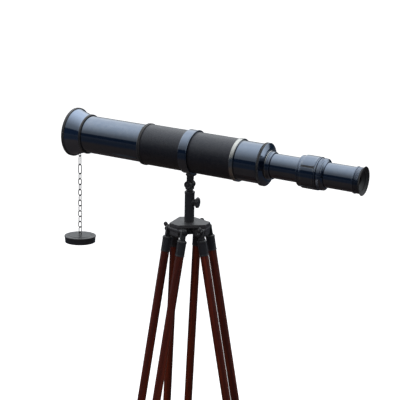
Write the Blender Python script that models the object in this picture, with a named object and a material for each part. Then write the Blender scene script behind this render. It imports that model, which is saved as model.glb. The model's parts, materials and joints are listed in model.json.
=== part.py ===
"""Floor-standing refractor telescope on a wooden tripod, metres, +Z up.

The optical axis runs along X with the eyepiece at +X, tilted a little so that the objective looks up.
The origin is on the floor, under the middle of the whole object's bounding box.
"""

import math

import bmesh
import bpy
from mathutils import Matrix, Vector

mm = 0.001
gap = 0.3 * mm

# Driving dimensions
tube_axis_height = 1445 * mm
tube_tilt = math.radians(2.5)
pivot_below_axis = 84 * mm
tube_steps = 24
leg_steps = 14
small_steps = 12

# Stations along the optical axis, measured from the tilt pivot
bell_front = -354 * mm
bell_rear = -303 * mm
front_ring_start = -133 * mm
barrel_start = -123 * mm
barrel_end = 131 * mm
rear_ring_end = 141 * mm
housing_end = 211.5 * mm
housing_collar_end = 228.5 * mm
sleeve_start = 300 * mm
sleeve_end = 350 * mm
focus_ring_end = 368 * mm
eyepiece_end = 439 * mm
eye_cup_end = 460 * mm

# Radii about the optical axis
bell_radius = 64 * mm
lens_radius = 42.9 * mm
front_tube_radius = 48.5 * mm
front_tube_bore = 46.5 * mm
barrel_radius = 50.5 * mm
barrel_bore = 48.8 * mm
leather_radius = 52 * mm
ring_radius = 54 * mm
band_radius = 55.5 * mm
band_width = 25 * mm
housing_radius = 49.5 * mm
housing_bore = 46 * mm
draw_radius = 30.4 * mm
draw_bore = 28.4 * mm
sleeve_radius = 40.3 * mm
focus_ring_radius = 38.8 * mm
eyepiece_radius = 30.3 * mm
eye_cup_radius = 35.4 * mm

# Chain and cap
chain_station = -335 * mm
chain_hook_radius = 63 * mm
chain_wire = 1.8 * mm
wire_sides = 4
link_bend_steps = 4
chain_link_width = 12 * mm
chain_long_pitch = 24 * mm
chain_short_pitch = 14.7 * mm
chain_long_links = 2
chain_upper_links = 7
chain_links = 13
link_overlap = 0.2 * mm
link_top = (gap + link_overlap) / 2
cap_eye_height = 6.5 * mm
cap_radius = 42.3 * mm
cap_height = 19 * mm
cap_wall = 1.6 * mm

# Heights of the mount, measured down from the optical axis
column_top = -102 * mm
column_knob_height = -130 * mm
head_top = -180.5 * mm
head_bottom = -214 * mm
hinge_height = -196 * mm
column_bottom = -212 * mm
column_radius = 12.6 * mm
column_bore = 10 * mm
post_radius = 9.7 * mm
post_bore = 6.3 * mm
spindle_radius = 6 * mm
cheek_inner = 4.3 * mm
cheek_outer = 8.7 * mm
bolt_radius = 3 * mm

# Tripod head and legs
plate_thickness = 8 * mm
lobe_reach = 51 * mm
lobe_half_width = 19 * mm
lug_inner = 18 * mm
lug_half_width = 16.5 * mm
lug_boss_radius = 8 * mm
hinge_reach = 42 * mm
leg_directions = {"rear_leg": 8.3, "right_leg": 128.3, "left_leg": 248.3}
leg_splay = math.radians(10.4)
rod_spacing = 59 * mm
rod_radius = 10.8 * mm
rod_top = -30 * mm
rod_end = -795 * mm
tang_half_thickness = 3 * mm
tang_half_width = 8 * mm
socket_top = -22 * mm
socket_bottom = -62 * mm
socket_radius = 12.4 * mm
bracket_top = -765 * mm
bracket_bottom = -800 * mm
slat_half_depth = 10 * mm
slat_half_width = 15 * mm
slat_top = -585 * mm
foot_radius = 20.5 * mm
foot_height = 34 * mm
leg_length = (tube_axis_height + hinge_height) / math.cos(leg_splay)

bronze = ((0.030, 0.026, 0.024), 0.22, 0.85)
silver = ((0.32, 0.32, 0.33), 0.25, 0.9)
black = ((0.020, 0.020, 0.021), 0.5, 0.4)
hide = ((0.016, 0.015, 0.015), 0.62, 0.0)
wood = ((0.17, 0.035, 0.014), 0.38, 0.0)
rubber = ((0.016, 0.016, 0.016), 0.8, 0.0)
glass = ((0.75, 0.82, 0.86), 0.05, 0.0)
steel = ((0.10, 0.09, 0.085), 0.35, 0.9)


def clear_scene():
    for obj in list(bpy.data.objects):
        bpy.data.objects.remove(obj, do_unlink=True)


def own_material(name, look):
    color, roughness, metallic = look
    material = bpy.data.materials.new(name + "_finish")
    material.use_nodes = True
    shader = material.node_tree.nodes["Principled BSDF"]
    shader.inputs["Base Color"].default_value = (*color, 1)
    shader.inputs["Roughness"].default_value = roughness
    shader.inputs["Metallic"].default_value = metallic
    return material


def add_object(name, bm, parent, look=None, place=(0, 0, 0)):
    bmesh.ops.recalc_face_normals(bm, faces=bm.faces)
    mesh = bpy.data.meshes.new(name)
    bm.to_mesh(mesh)
    bm.free()
    mesh.shade_smooth()
    mesh.set_sharp_from_angle(angle=math.radians(30))
    obj = bpy.data.objects.new(name, mesh)
    bpy.context.scene.collection.objects.link(obj)
    obj.parent = parent
    obj.location = place
    if look:
        mesh.materials.append(own_material(name, look))
    return obj


def add_frame(name, parent=None, place=(0, 0, 0), turn=(0, 0, 0)):
    frame = bpy.data.objects.new(name, None)
    bpy.context.scene.collection.objects.link(frame)
    frame.empty_display_size = 0.03
    frame.parent = parent
    frame.location = place
    frame.rotation_euler = turn
    return frame


def combine(obj, other, operation):
    """Joins other to obj, or cuts it away, and leaves other as a hidden helper."""
    other.hide_render = True
    other.display_type = "WIRE"
    modifier = obj.modifiers.new(operation.lower() + "_" + other.name, "BOOLEAN")
    modifier.operation = operation
    modifier.solver = "EXACT"
    modifier.object = other


def turned_shape(outline, axis="X", steps=tube_steps):
    """A solid of revolution from a closed outline of (along, radius) points."""
    bm = bmesh.new()
    rings = []
    for along, radius in outline:
        count = steps if radius > 0 else 1
        ring = []
        for k in range(count):
            angle = 2 * math.pi * k / steps
            across, up = radius * math.cos(angle), radius * math.sin(angle)
            points = {"X": (along, across, up), "Y": (across, along, up), "Z": (across, up, along)}
            ring.append(bm.verts.new(points[axis]))
        rings.append(ring)
    for k, ring in enumerate(rings):
        following = rings[(k + 1) % len(rings)]
        for j in range(steps if max(len(ring), len(following)) > 1 else 0):
            corners = [ring[j % len(ring)], ring[(j + 1) % len(ring)]]
            corners += [following[(j + 1) % len(following)], following[j % len(following)]]
            bm.faces.new(list(dict.fromkeys(corners)))
    return bm


def turned(name, outline, look, parent, axis="X", steps=tube_steps, place=(0, 0, 0)):
    return add_object(name, turned_shape(outline, axis, steps), parent, look, place)


def rod_outline(start, end, radius):
    return [(start, 0), (start, radius), (end, radius), (end, 0)]


def tube_outline(start, end, radius, bore):
    return [(start, radius), (end, radius), (end, bore), (start, bore)]


def extruded(name, outline, low, high, parent, look=None, axis="Z"):
    """A prism with this outline, from low to high along the axis."""
    bm = bmesh.new()
    for level in (low, high):
        for across, up in outline:
            points = {"X": (level, across, up), "Y": (across, level, up), "Z": (across, up, level)}
            bm.verts.new(points[axis])
    bm.verts.ensure_lookup_table()
    count = len(outline)
    bm.faces.new(bm.verts[:count])
    bm.faces.new(bm.verts[count:])
    for k in range(count):
        following = (k + 1) % count
        bm.faces.new([bm.verts[j] for j in (k, following, count + following, count + k)])
    return add_object(name, bm, parent, look)


def rectangle(low_x, high_x, low_y, high_y):
    return [(low_x, low_y), (high_x, low_y), (high_x, high_y), (low_x, high_y)]


def arc(radius, start, end, steps, center=(0, 0)):
    """Points on a circle, from one angle to another in degrees."""
    points = []
    for k in range(steps + 1):
        angle = math.radians(start + (end - start) * k / steps)
        points.append((center[0] + radius * math.cos(angle), center[1] + radius * math.sin(angle)))
    return points


# Optical tube

def make_objective(axis):
    mouth = bell_front
    bell = [(mouth, bell_radius - 4 * mm), (mouth + mm, bell_radius - mm), (mouth + 3 * mm, bell_radius)]
    bell += [(mouth + 8 * mm, bell_radius), (mouth + 10 * mm, bell_radius - 3.5 * mm)]
    bell += [(mouth + 16 * mm, 55 * mm), (mouth + 24 * mm, 51.4 * mm), (mouth + 34 * mm, 50.4 * mm)]
    bell += [(bell_rear - 6 * mm, 50.4 * mm), (bell_rear - 5 * mm, leather_radius)]
    bell += [(bell_rear - mm, leather_radius), (bell_rear, 50.6 * mm), (bell_rear, barrel_bore)]
    bell += [(mouth + 22 * mm, barrel_bore), (mouth + 14 * mm, 51 * mm), (mouth + 7 * mm, 56 * mm)]
    turned("objective_bell", bell, bronze, axis)
    tube_front = mouth + 22 * mm
    turned("front_tube", tube_outline(tube_front, -105 * mm, front_tube_radius, front_tube_bore), bronze, axis)
    seat = tube_front + 14 * mm
    cell_radius = front_tube_bore - gap
    bore = lens_radius + gap
    cell = [(tube_front, cell_radius), (seat, cell_radius), (seat, 40 * mm)]
    cell += [(seat - 4 * mm, 40 * mm), (seat - 4 * mm, bore), (tube_front, bore)]
    turned("objective_cell", cell, black, axis)
    lens_rear = seat - 4 * mm - gap
    lens = [(lens_rear - 8 * mm, 0), (lens_rear - 7.3 * mm, 18 * mm), (lens_rear - 5.2 * mm, 32 * mm)]
    lens += [(lens_rear - 3 * mm, lens_radius), (lens_rear, lens_radius), (lens_rear + 0.8 * mm, 30 * mm)]
    lens += [(lens_rear + 1.6 * mm, 0)]
    turned("objective_lens", lens, glass, axis)


def make_barrel(axis):
    ring = tube_outline(front_ring_start, barrel_start - gap, ring_radius, front_tube_radius + gap)
    turned("front_ring", ring, bronze, axis)
    barrel = tube_outline(barrel_start, barrel_end - gap, barrel_radius, barrel_bore)
    turned("main_tube", barrel, bronze, axis)
    wrap = tube_outline(barrel_start, barrel_end - gap, leather_radius, barrel_radius + gap)
    turned("leather_wrap", wrap, hide, axis)
    start, end = 2 * mm - band_width / 2, 2 * mm + band_width / 2
    band = [(start, band_radius - 0.6 * mm), (start + 0.6 * mm, band_radius), (end - 3 * mm, band_radius)]
    band += [(end - 2.5 * mm, band_radius + mm), (end - 0.5 * mm, band_radius + mm), (end, band_radius)]
    band += [(end, leather_radius + gap), (start, leather_radius + gap)]
    turned("clamp_band", band, bronze, axis)
    ring = tube_outline(barrel_end, rear_ring_end - gap, ring_radius, barrel_bore)
    turned("rear_ring", ring, silver, axis)
    wall = housing_end - 5.5 * mm
    lip = 53.7 * mm
    spigot = barrel_bore - gap
    housing = [(110 * mm, spigot), (rear_ring_end, spigot), (rear_ring_end, housing_radius)]
    housing += [(housing_end - 9.5 * mm, housing_radius), (housing_end - 9 * mm, lip), (housing_end - mm, lip)]
    housing += [(housing_end, lip - mm), (housing_end, 34 * mm), (housing_collar_end - 0.6 * mm, 34 * mm)]
    housing += [(housing_collar_end, 33.4 * mm), (housing_collar_end, draw_radius + gap)]
    housing += [(wall, draw_radius + gap), (wall, housing_bore), (110 * mm, housing_bore)]
    turned("rear_housing", housing, bronze, axis)


def make_draw_tube(frame):
    guide_end = 156 * mm
    sleeve_seat = sleeve_start + 6 * mm
    guide = [(150 * mm, housing_bore - 0.4 * mm), (guide_end, housing_bore - 0.4 * mm), (guide_end, draw_radius)]
    guide += [(sleeve_seat, draw_radius), (sleeve_seat, draw_bore), (150 * mm, draw_bore)]
    turned("draw_tube", guide, bronze, frame)
    lens = [(158 * mm, 0), (160 * mm, 17 * mm), (162 * mm, draw_bore - gap)]
    lens += [(164 * mm, draw_bore - gap), (166 * mm, 17 * mm), (168 * mm, 0)]
    turned("erector_lens", lens, glass, frame)
    cavity = 33.5 * mm
    sleeve = [(sleeve_start, 37 * mm), (sleeve_start + mm, 37.8 * mm), (sleeve_start + 8 * mm, 37.8 * mm)]
    sleeve += [(sleeve_start + 9 * mm, sleeve_radius), (sleeve_end, sleeve_radius), (sleeve_end, cavity)]
    sleeve += [(sleeve_seat + gap, cavity), (sleeve_seat + gap, draw_radius + gap)]
    sleeve += [(sleeve_start, draw_radius + gap)]
    turned("focus_sleeve", sleeve, bronze, frame)


def make_eyepiece(ring_frame, frame):
    ring = [(sleeve_end + gap, focus_ring_radius), (focus_ring_end - 4 * mm, focus_ring_radius)]
    ring += [(focus_ring_end, 33 * mm), (focus_ring_end, eyepiece_radius + gap)]
    ring += [(sleeve_end + gap, eyepiece_radius + gap)]
    turned("focus_ring", ring, bronze, ring_frame)
    turned("eyepiece_tube", tube_outline(320 * mm, eyepiece_end, eyepiece_radius, draw_bore), bronze, frame)
    seat = eyepiece_end + 2 * mm
    mount_end = eyepiece_end + 15.5 * mm
    mount = [(eyepiece_end - 9 * mm, draw_bore - gap), (eyepiece_end + gap, draw_bore - gap)]
    mount += [(eyepiece_end + gap, 32.5 * mm), (eyepiece_end + 5 * mm, 32.5 * mm)]
    mount += [(eyepiece_end + 5 * mm, 31.5 * mm), (mount_end, 31.5 * mm), (mount_end, 24 * mm)]
    mount += [(seat, 24 * mm), (seat, 20 * mm), (eyepiece_end - 9 * mm, 20 * mm)]
    turned("eyepiece_mount", mount, bronze, frame)
    lens = [(seat - 0.5 * mm, 0), (seat + gap, 12 * mm), (seat + 0.6 * mm, 23.6 * mm)]
    lens += [(seat + 3 * mm, 23.6 * mm), (seat + 4.4 * mm, 0)]
    turned("eye_lens", lens, glass, frame)
    base = seat + 5 * mm
    cup = [(base, 23.6 * mm), (mount_end + gap, 23.6 * mm), (mount_end + gap, 31.4 * mm)]
    cup += [(eye_cup_end - mm, eye_cup_radius), (eye_cup_end, eye_cup_radius - mm)]
    cup += [(eye_cup_end - 0.6 * mm, eye_cup_radius - 2 * mm), (base + 6 * mm, 22 * mm)]
    cup += [(base + 2.5 * mm, 12 * mm), (base, 11 * mm)]
    turned("eye_cup", cup, rubber, frame)


# Chain and cap

def link_shape(drop, pitch, turned_quarter):
    """One oval link whose upper wire rests this far below zero, in the YZ plane, or XZ when turned."""
    path_radius = (chain_link_width - chain_wire) / 2
    length = pitch + chain_wire - link_overlap
    straight = length - 2 * path_radius
    center = link_top - drop - pitch / 2
    bm = bmesh.new()
    path = [Vector((0, p[0], p[1])) for p in arc(path_radius, 0, 180, link_bend_steps, (0, straight / 2))]
    path += [Vector((0, p[0], p[1])) for p in arc(path_radius, 180, 360, link_bend_steps, (0, -straight / 2))]
    rings = []
    for k, point in enumerate(path):
        ahead = path[(k + 1) % len(path)] - path[k - 1]
        side = ahead.normalized().cross(Vector((1, 0, 0)))
        ring = []
        for j in range(wire_sides):
            angle = 2 * math.pi * j / wire_sides
            offset = side * math.cos(angle) + Vector((1, 0, 0)) * math.sin(angle)
            ring.append(bm.verts.new(point + offset * chain_wire / 2))
        rings.append(ring)
    for k, ring in enumerate(rings):
        following = rings[(k + 1) % len(rings)]
        for j in range(wire_sides):
            beside = (j + 1) % wire_sides
            bm.faces.new([ring[j], ring[beside], following[beside], following[j]])
    if turned_quarter:
        bmesh.ops.rotate(bm, verts=bm.verts, matrix=Matrix.Rotation(math.pi / 2, 3, "Z"))
    bmesh.ops.translate(bm, verts=bm.verts, vec=(0, 0, center))
    return bm


def chain_pitch(index):
    return chain_long_pitch if index < chain_long_links else chain_short_pitch


def make_chain_run(name, first, last, parent):
    """The links from first up to last, joined in one solid where they touch."""
    drop = 0.0
    run = None
    for index in range(first, last):
        pitch = chain_pitch(index)
        shape = link_shape(drop, pitch, index % 2 == 1)
        if run is None:
            run = add_object(name, shape, parent, steel)
        else:
            combine(run, add_object(f"{name}_link_{index}", shape, parent), "UNION")
        drop += pitch
    return 2 * link_top - drop


def make_chain_and_cap(axis):
    hook = add_frame("chain_hook", axis, (chain_station, 0, -chain_hook_radius))
    peg_top = chain_hook_radius - 55 * mm
    peg = turned("chain_eye", rod_outline(6 * mm, peg_top, 2 * mm), steel, hook, "Z", small_steps)
    hole = 2.6 * mm
    ring = tube_outline(-1.1 * mm, 1.1 * mm, hole + 2 * mm, hole)
    combine(peg, turned("chain_eye_ring", ring, None, hook, "Y", small_steps, (0, 0, hole - gap)), "UNION")
    upper = add_frame("chain_upper_swing", hook, (0, 0, 0), (0, -tube_tilt, 0))
    end = make_chain_run("chain_upper", 0, chain_upper_links, upper)
    lower = add_frame("chain_lower_swing", upper, (0, 0, end))
    end = make_chain_run("chain_lower", chain_upper_links, chain_links, lower)
    make_cap(add_frame("cap_swing", lower, (0, 0, end)))


def make_cap(frame):
    top = -cap_eye_height - 0.5 * mm
    bottom = top - cap_height
    foot = cap_radius - 1.8 * mm
    shell = [(top, 0), (top, cap_radius - mm), (top - mm, cap_radius), (bottom, foot)]
    shell += [(bottom, foot - cap_wall), (top - 2 * mm, cap_radius - mm - cap_wall), (top - 2 * mm, 0)]
    cap = turned("lens_cap", shell, bronze, frame, "Z")
    combine(cap, add_object("lens_cap_eye", link_shape(0, cap_eye_height, True), frame), "UNION")


# Mount

def make_saddle(tilt):
    top = pivot_below_axis - band_radius - 2 * mm
    boss = turned("saddle", rod_outline(12 * mm, top, 8.7 * mm), black, tilt, "Z", small_steps)
    pad = extruded("saddle_pad", rectangle(-12 * mm, 16 * mm, -14 * mm, 14 * mm), top - 3 * mm, top + 4 * mm, tilt)
    combine(boss, pad, "UNION")
    barrel = rod_outline(-40 * mm, 40 * mm, band_radius + mm + gap)
    combine(boss, turned("saddle_seat", barrel, None, tilt, "X", tube_steps, (0, 0, pivot_below_axis)), "DIFFERENCE")
    tongue = [(8.4 * mm, 14 * mm), (-8.4 * mm, 14 * mm)] + arc(8.4 * mm, 180, 360, 8)
    half = cheek_inner - gap
    combine(boss, extruded("saddle_tongue", tongue, -half, half, tilt, None, "Y"), "UNION")
    hole = rod_outline(-10 * mm, 10 * mm, bolt_radius + gap)
    combine(boss, turned("saddle_hole", hole, None, tilt, "Y", small_steps), "DIFFERENCE")


def make_yoke(frame):
    """The fork that pans on the post; frame is at the tilt pivot."""
    neck_bottom = column_top + pivot_below_axis + gap
    spindle_end = neck_bottom - 46 * mm
    stem = [(spindle_end, 0), (spindle_end, spindle_radius), (neck_bottom, spindle_radius)]
    stem += [(neck_bottom, 9.2 * mm), (-10 * mm, 9.2 * mm), (-10 * mm, 0)]
    yoke = turned("tilt_yoke", stem, black, frame, "Z", small_steps)
    cheek = [(8.4 * mm, -12 * mm)] + arc(8.4 * mm, 0, 180, 8) + [(-8.4 * mm, -12 * mm)]
    for side, low, high in (("near", -cheek_outer, -cheek_inner), ("far", cheek_inner, cheek_outer)):
        combine(yoke, extruded(f"yoke_{side}_cheek", cheek, low, high, frame, None, "Y"), "UNION")
    hole = rod_outline(-10 * mm, 10 * mm, bolt_radius + gap)
    combine(yoke, turned("yoke_hole", hole, None, frame, "Y", small_steps), "DIFFERENCE")
    head = cheek_outer + gap
    bolt = [(-14.5 * mm, 0), (-14.5 * mm, bolt_radius), (head, bolt_radius), (head, 9.6 * mm)]
    bolt += [(head + 5 * mm, 9.6 * mm), (head + 6 * mm, 8 * mm), (head + 6 * mm, 0)]
    turned("tilt_bolt", bolt, black, frame, "Y", small_steps)
    nut = [(-head, bolt_radius + gap), (-head, 7 * mm), (-head - 1.5 * mm, 9.6 * mm), (-head - 5 * mm, 10 * mm)]
    nut += [(-head - 5.5 * mm, 9 * mm), (-head - 3.5 * mm, 7.5 * mm), (-head - 3.5 * mm, bolt_radius + gap)]
    turned("tilt_nut", nut, black, frame, "Y", small_steps)


def make_column(mount):
    top = column_top
    bottom = column_bottom
    column = turned("column", tube_outline(bottom, top, column_radius, column_bore), black, mount, "Z", leg_steps)
    knob_frame = add_frame("column_knob_turn", mount, (0, 0, column_knob_height))
    knob_frame.rotation_euler.z = math.radians(leg_directions["rear_leg"])
    boss = turned("column_boss", rod_outline(8 * mm, 16.5 * mm, 6.5 * mm), None, knob_frame, "X", small_steps)
    combine(column, boss, "UNION")
    bore = turned("column_bore", rod_outline(column_bottom - mm, column_top + mm, column_bore), None, mount, "Z", leg_steps)
    combine(column, bore, "DIFFERENCE")
    shank_hole = rod_outline(5 * mm, 20 * mm, bolt_radius + gap)
    combine(column, turned("column_shank_hole", shank_hole, None, knob_frame, "X", small_steps), "DIFFERENCE")
    knob = [(post_radius + gap, 0), (post_radius + gap, bolt_radius), (17 * mm, bolt_radius), (17 * mm, 7 * mm)]
    knob += [(18.5 * mm, 14 * mm), (24.5 * mm, 14 * mm), (25.5 * mm, 13 * mm), (25.5 * mm, 0)]
    turned("column_knob", knob, black, knob_frame, "X", leg_steps)


def make_post(lift):
    outline = tube_outline(column_bottom + 4 * mm, column_top - 0.2 * mm, post_radius, post_bore)
    turned("center_post", outline, black, lift, "Z", leg_steps)


def make_head(mount):
    plate = []
    for angle in leg_directions.values():
        direction = Vector((math.cos(math.radians(angle)), math.sin(math.radians(angle))))
        across = Vector((-direction.y, direction.x))
        for side in (-1, 1):
            plate.append(tuple(direction * lobe_reach + across * lobe_half_width * side))
    head = extruded("tripod_head", plate, head_top - plate_thickness, head_top, mount, black)
    boss = turned("head_boss", rod_outline(head_bottom + 4 * mm, head_top - 3 * mm, 19.3 * mm), None, mount, "Z", leg_steps)
    combine(head, boss, "UNION")
    for name, angle in leg_directions.items():
        turn = add_frame(name + "_lug_frame", mount, (0, 0, hinge_height), (0, 0, math.radians(angle)))
        lug = rectangle(lug_inner - 3 * mm, lobe_reach - 0.5 * mm, -lug_half_width, lug_half_width)
        low = head_bottom - hinge_height
        high = head_top - plate_thickness / 2 - hinge_height
        combine(head, extruded(name + "_lug", lug, low, high, turn), "UNION")
        half = rod_spacing / 2 - tang_half_thickness - gap
        boss = rod_outline(-half, half, lug_boss_radius - mm)
        hinge = add_frame(name + "_boss_frame", turn, (hinge_reach, 0, 0))
        combine(head, turned(name + "_boss", boss, None, hinge, "Y", small_steps), "UNION")
        hole = rod_outline(-half - mm, half + mm, bolt_radius + gap)
        combine(head, turned(name + "_hinge_hole", hole, None, hinge, "Y", small_steps), "DIFFERENCE")
    bore = rod_outline(head_bottom - mm, head_top + mm, column_radius + gap)
    combine(head, turned("head_bore", bore, None, mount, "Z", leg_steps), "DIFFERENCE")


# Legs

def make_hinge(name, hinge):
    """The bolt through the lug, fixed in the head, and its wing nut."""
    face = rod_spacing / 2 + tang_half_thickness + gap
    bolt = [(-face - 7 * mm, 0), (-face - 7 * mm, bolt_radius), (face, bolt_radius), (face, 7 * mm)]
    bolt += [(face + 4 * mm, 7 * mm), (face + 5.5 * mm, 5 * mm), (face + 5.5 * mm, 0)]
    turned(name + "_hinge_bolt", bolt, black, hinge, "Y", small_steps)
    hub = tube_outline(-face - 6 * mm, -face, 5.5 * mm, bolt_radius + gap)
    nut = turned(name + "_hinge_nut", hub, black, hinge, "Y", small_steps)
    for side in (-1, 1):
        frame = add_frame(f"{name}_nut_wing_{side}", hinge, (0, -face - 7.5 * mm, side * 8.5 * mm), (0, 0, 0))
        wing = rod_outline(-1.3 * mm, 1.3 * mm, 5 * mm)
        combine(nut, turned(f"{name}_wing_{side}", wing, None, frame, "X", small_steps), "UNION")


def make_socket(name, leg, side):
    center = side * rod_spacing / 2
    half = tang_half_thickness
    frame = add_frame(name + "_frame", leg, (0, center, 0))
    cup = [(socket_bottom, socket_radius), (socket_top - mm, socket_radius), (socket_top, socket_radius - mm)]
    cup += [(socket_top, 0), (rod_top + gap, 0), (rod_top + gap, rod_radius + gap)]
    cup += [(socket_bottom, rod_radius + gap)]
    socket = turned(name, cup, black, frame, "Z", leg_steps)
    tang = [(tang_half_width, socket_top - 3 * mm)] + arc(tang_half_width, 0, 180, 8)
    tang += [(-tang_half_width, socket_top - 3 * mm)]
    combine(socket, extruded(name + "_tang", tang, -half, half, frame, None, "Y"), "UNION")
    hole = rod_outline(-half - mm, half + mm, bolt_radius + gap)
    combine(socket, turned(name + "_eye", hole, None, frame, "Y", small_steps), "DIFFERENCE")


def make_bracket(name, leg):
    """The casting at the bottom of the two rods, with a slot for the sliding lower leg."""
    corner = 6 * mm
    half_depth, half_width = 14.5 * mm, rod_spacing / 2 + 14.5 * mm
    outline = []
    for start, x, y in ((0, 1, 1), (90, -1, 1), (180, -1, -1), (270, 1, -1)):
        center = (x * (half_depth - corner), y * (half_width - corner))
        outline += arc(corner, start, start + 90, 2, center)
    bracket = extruded(name, outline, bracket_bottom, bracket_top, leg, black)
    for side in (-1, 1):
        frame = add_frame(f"{name}_bore_{side}", leg, (0, side * rod_spacing / 2, 0))
        bore = rod_outline(rod_end - gap, bracket_top + mm, rod_radius + gap)
        combine(bracket, turned(f"{name}_rod_bore_{side}", bore, None, frame, "Z", leg_steps), "DIFFERENCE")
    depth, width = slat_half_depth + gap, slat_half_width + gap
    slot = rectangle(-depth, depth, -width, width)
    combine(bracket, extruded(name + "_slot", slot, bracket_bottom - mm, bracket_top + mm, leg), "DIFFERENCE")
    middle = add_frame(name + "_middle", leg, (0, 0, (bracket_top + bracket_bottom) / 2))
    boss = turned(name + "_boss", rod_outline(depth + mm, 18 * mm, 7 * mm), None, middle, "X", small_steps)
    combine(bracket, boss, "UNION")
    hole = rod_outline(depth - 2 * mm, 19 * mm, bolt_radius + gap)
    combine(bracket, turned(name + "_shank_hole", hole, None, middle, "X", small_steps), "DIFFERENCE")
    return middle


def make_clamp_knob(name, frame):
    start = slat_half_depth + gap
    knob = [(start, 0), (start, bolt_radius), (18.5 * mm, bolt_radius), (18.5 * mm, 7 * mm)]
    knob += [(20 * mm, 13 * mm), (27 * mm, 13 * mm), (28.5 * mm, 11.5 * mm), (28.5 * mm, 0)]
    turned(name, knob, black, frame, "X", leg_steps)


def make_lower_leg(name, leg):
    chamfer = 2.5 * mm
    depth, width = slat_half_depth, slat_half_width
    outline = [(depth, width - chamfer), (depth - chamfer, width), (-depth + chamfer, width)]
    outline += [(-depth, width - chamfer), (-depth, -width + chamfer), (-depth + chamfer, -width)]
    outline += [(depth - chamfer, -width), (depth, -width + chamfer)]
    slat_end = -leg_length + 16 * mm
    extruded(name + "_lower_slat", outline, slat_end, slat_top, leg, wood)
    bm = turned_shape(foot_outline(slat_end), "Z", leg_steps)
    for vertex in bm.verts:
        if vertex.co.z < -leg_length + 3.5 * mm:
            vertex.co.z = -leg_length - vertex.co.x * math.tan(leg_splay)
    foot = add_object(name + "_foot", bm, leg, rubber)
    pocket = rectangle(-depth - gap, depth + gap, -width - gap, width + gap)
    combine(foot, extruded(name + "_foot_pocket", pocket, slat_end - gap, slat_end + 40 * mm, leg), "DIFFERENCE")


def foot_outline(slat_end):
    """A cup round the slat's end; its lowest ring is laid flat on the floor afterwards."""
    top = -leg_length + foot_height
    return [(top, 0), (top, foot_radius - 1.5 * mm), (top - 1.5 * mm, foot_radius),
            (-leg_length + 8 * mm, foot_radius), (-leg_length + 2 * mm, foot_radius - 3 * mm),
            (-leg_length + 2 * mm, 0)]


def make_leg(name, angle, mount):
    turn = add_frame(name + "_direction", mount, (0, 0, hinge_height), (0, 0, math.radians(angle)))
    hinge = add_frame(name + "_hinge", turn, (hinge_reach, 0, 0))
    make_hinge(name, hinge)
    leg = add_frame(name + "_fold", hinge, (0, 0, 0), (0, -leg_splay, 0))
    for label, side in (("a", -1), ("b", 1)):
        make_socket(f"{name}_socket_{label}", leg, side)
        rod = rod_outline(rod_end, rod_top, rod_radius)
        turned(f"{name}_rod_{label}", rod, wood, leg, "Z", leg_steps, (0, side * rod_spacing / 2, 0))
    knob_frame = make_bracket(name + "_bracket", leg)
    make_clamp_knob(name + "_clamp_knob", knob_frame)
    make_lower_leg(name, leg)


def centre_on_floor(mount):
    """Moves everything sideways until the bounding box's middle is over the origin."""
    bpy.context.view_layer.update()
    corners = []
    for obj in bpy.context.scene.objects:
        if obj.type == "MESH" and not obj.hide_render:
            corners += [obj.matrix_world @ vertex.co for vertex in obj.data.vertices]
    for axis in (0, 1):
        values = [corner[axis] for corner in corners]
        mount.location[axis] -= (min(values) + max(values)) / 2


def main():
    clear_scene()
    mount = add_frame("optical_axis_over_post", None, (0, 0, tube_axis_height))
    make_head(mount)
    make_column(mount)
    make_post(add_frame("post_lift", mount))
    pivot = (0, 0, -pivot_below_axis)
    make_yoke(add_frame("yoke_pan", mount, pivot))
    tilt = add_frame("tube_tilt_pivot", mount, pivot, (0, tube_tilt, 0))
    make_saddle(tilt)
    axis = add_frame("optical_axis", tilt, (0, 0, pivot_below_axis))
    make_objective(axis)
    make_barrel(axis)
    draw = add_frame("draw_slide", axis)
    make_draw_tube(draw)
    make_eyepiece(add_frame("focus_turn", draw), add_frame("eyepiece_slide", draw))
    make_chain_and_cap(axis)
    for name, angle in leg_directions.items():
        make_leg(name, angle, mount)
    centre_on_floor(mount)


main()
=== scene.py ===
import json
import math

import bmesh
import bpy
from mathutils import Matrix, Vector


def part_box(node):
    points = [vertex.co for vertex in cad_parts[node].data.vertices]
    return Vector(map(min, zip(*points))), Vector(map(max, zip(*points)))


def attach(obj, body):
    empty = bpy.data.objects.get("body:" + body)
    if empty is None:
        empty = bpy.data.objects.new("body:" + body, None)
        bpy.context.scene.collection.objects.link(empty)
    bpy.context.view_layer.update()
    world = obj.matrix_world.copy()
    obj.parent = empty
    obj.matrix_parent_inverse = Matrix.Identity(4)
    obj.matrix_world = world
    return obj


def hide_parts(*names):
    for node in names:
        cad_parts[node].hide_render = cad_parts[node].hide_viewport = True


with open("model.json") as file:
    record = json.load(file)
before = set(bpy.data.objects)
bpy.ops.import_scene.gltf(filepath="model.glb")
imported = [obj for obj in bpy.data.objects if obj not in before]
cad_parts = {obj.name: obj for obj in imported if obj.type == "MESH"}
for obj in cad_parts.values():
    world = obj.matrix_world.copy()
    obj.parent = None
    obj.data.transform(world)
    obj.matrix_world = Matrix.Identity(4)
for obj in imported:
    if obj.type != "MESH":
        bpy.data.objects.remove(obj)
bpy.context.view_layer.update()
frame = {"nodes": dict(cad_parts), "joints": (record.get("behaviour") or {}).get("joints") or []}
print("frame loaded:", len(frame["nodes"]), "nodes")

mm = 0.001
clearance = 0.3 * mm  # between a pin and its hole
scene = bpy.context.scene
joints = {joint["name"]: joint for joint in frame["joints"]}
legNames = ("rear_leg", "right_leg", "left_leg")

# how round the turned pieces are, and how far an edge must bend before it counts as worn
fineness = {"tube": 128, "knob": 72, "rod": 48, "small": 32, "cornerSteps": 3, "corner": 0.4 * mm}
wornEdge = {"from": math.radians(9), "to": math.radians(24)}


# Places: each is a matrix from a piece's own axes to the frame

def spaceOf(origin, x, y):
    x, y = Vector(x).normalized(), Vector(y).normalized()
    space = Matrix((x, y, x.cross(y))).transposed().to_4x4()
    space.translation = Vector(origin)
    return space


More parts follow.
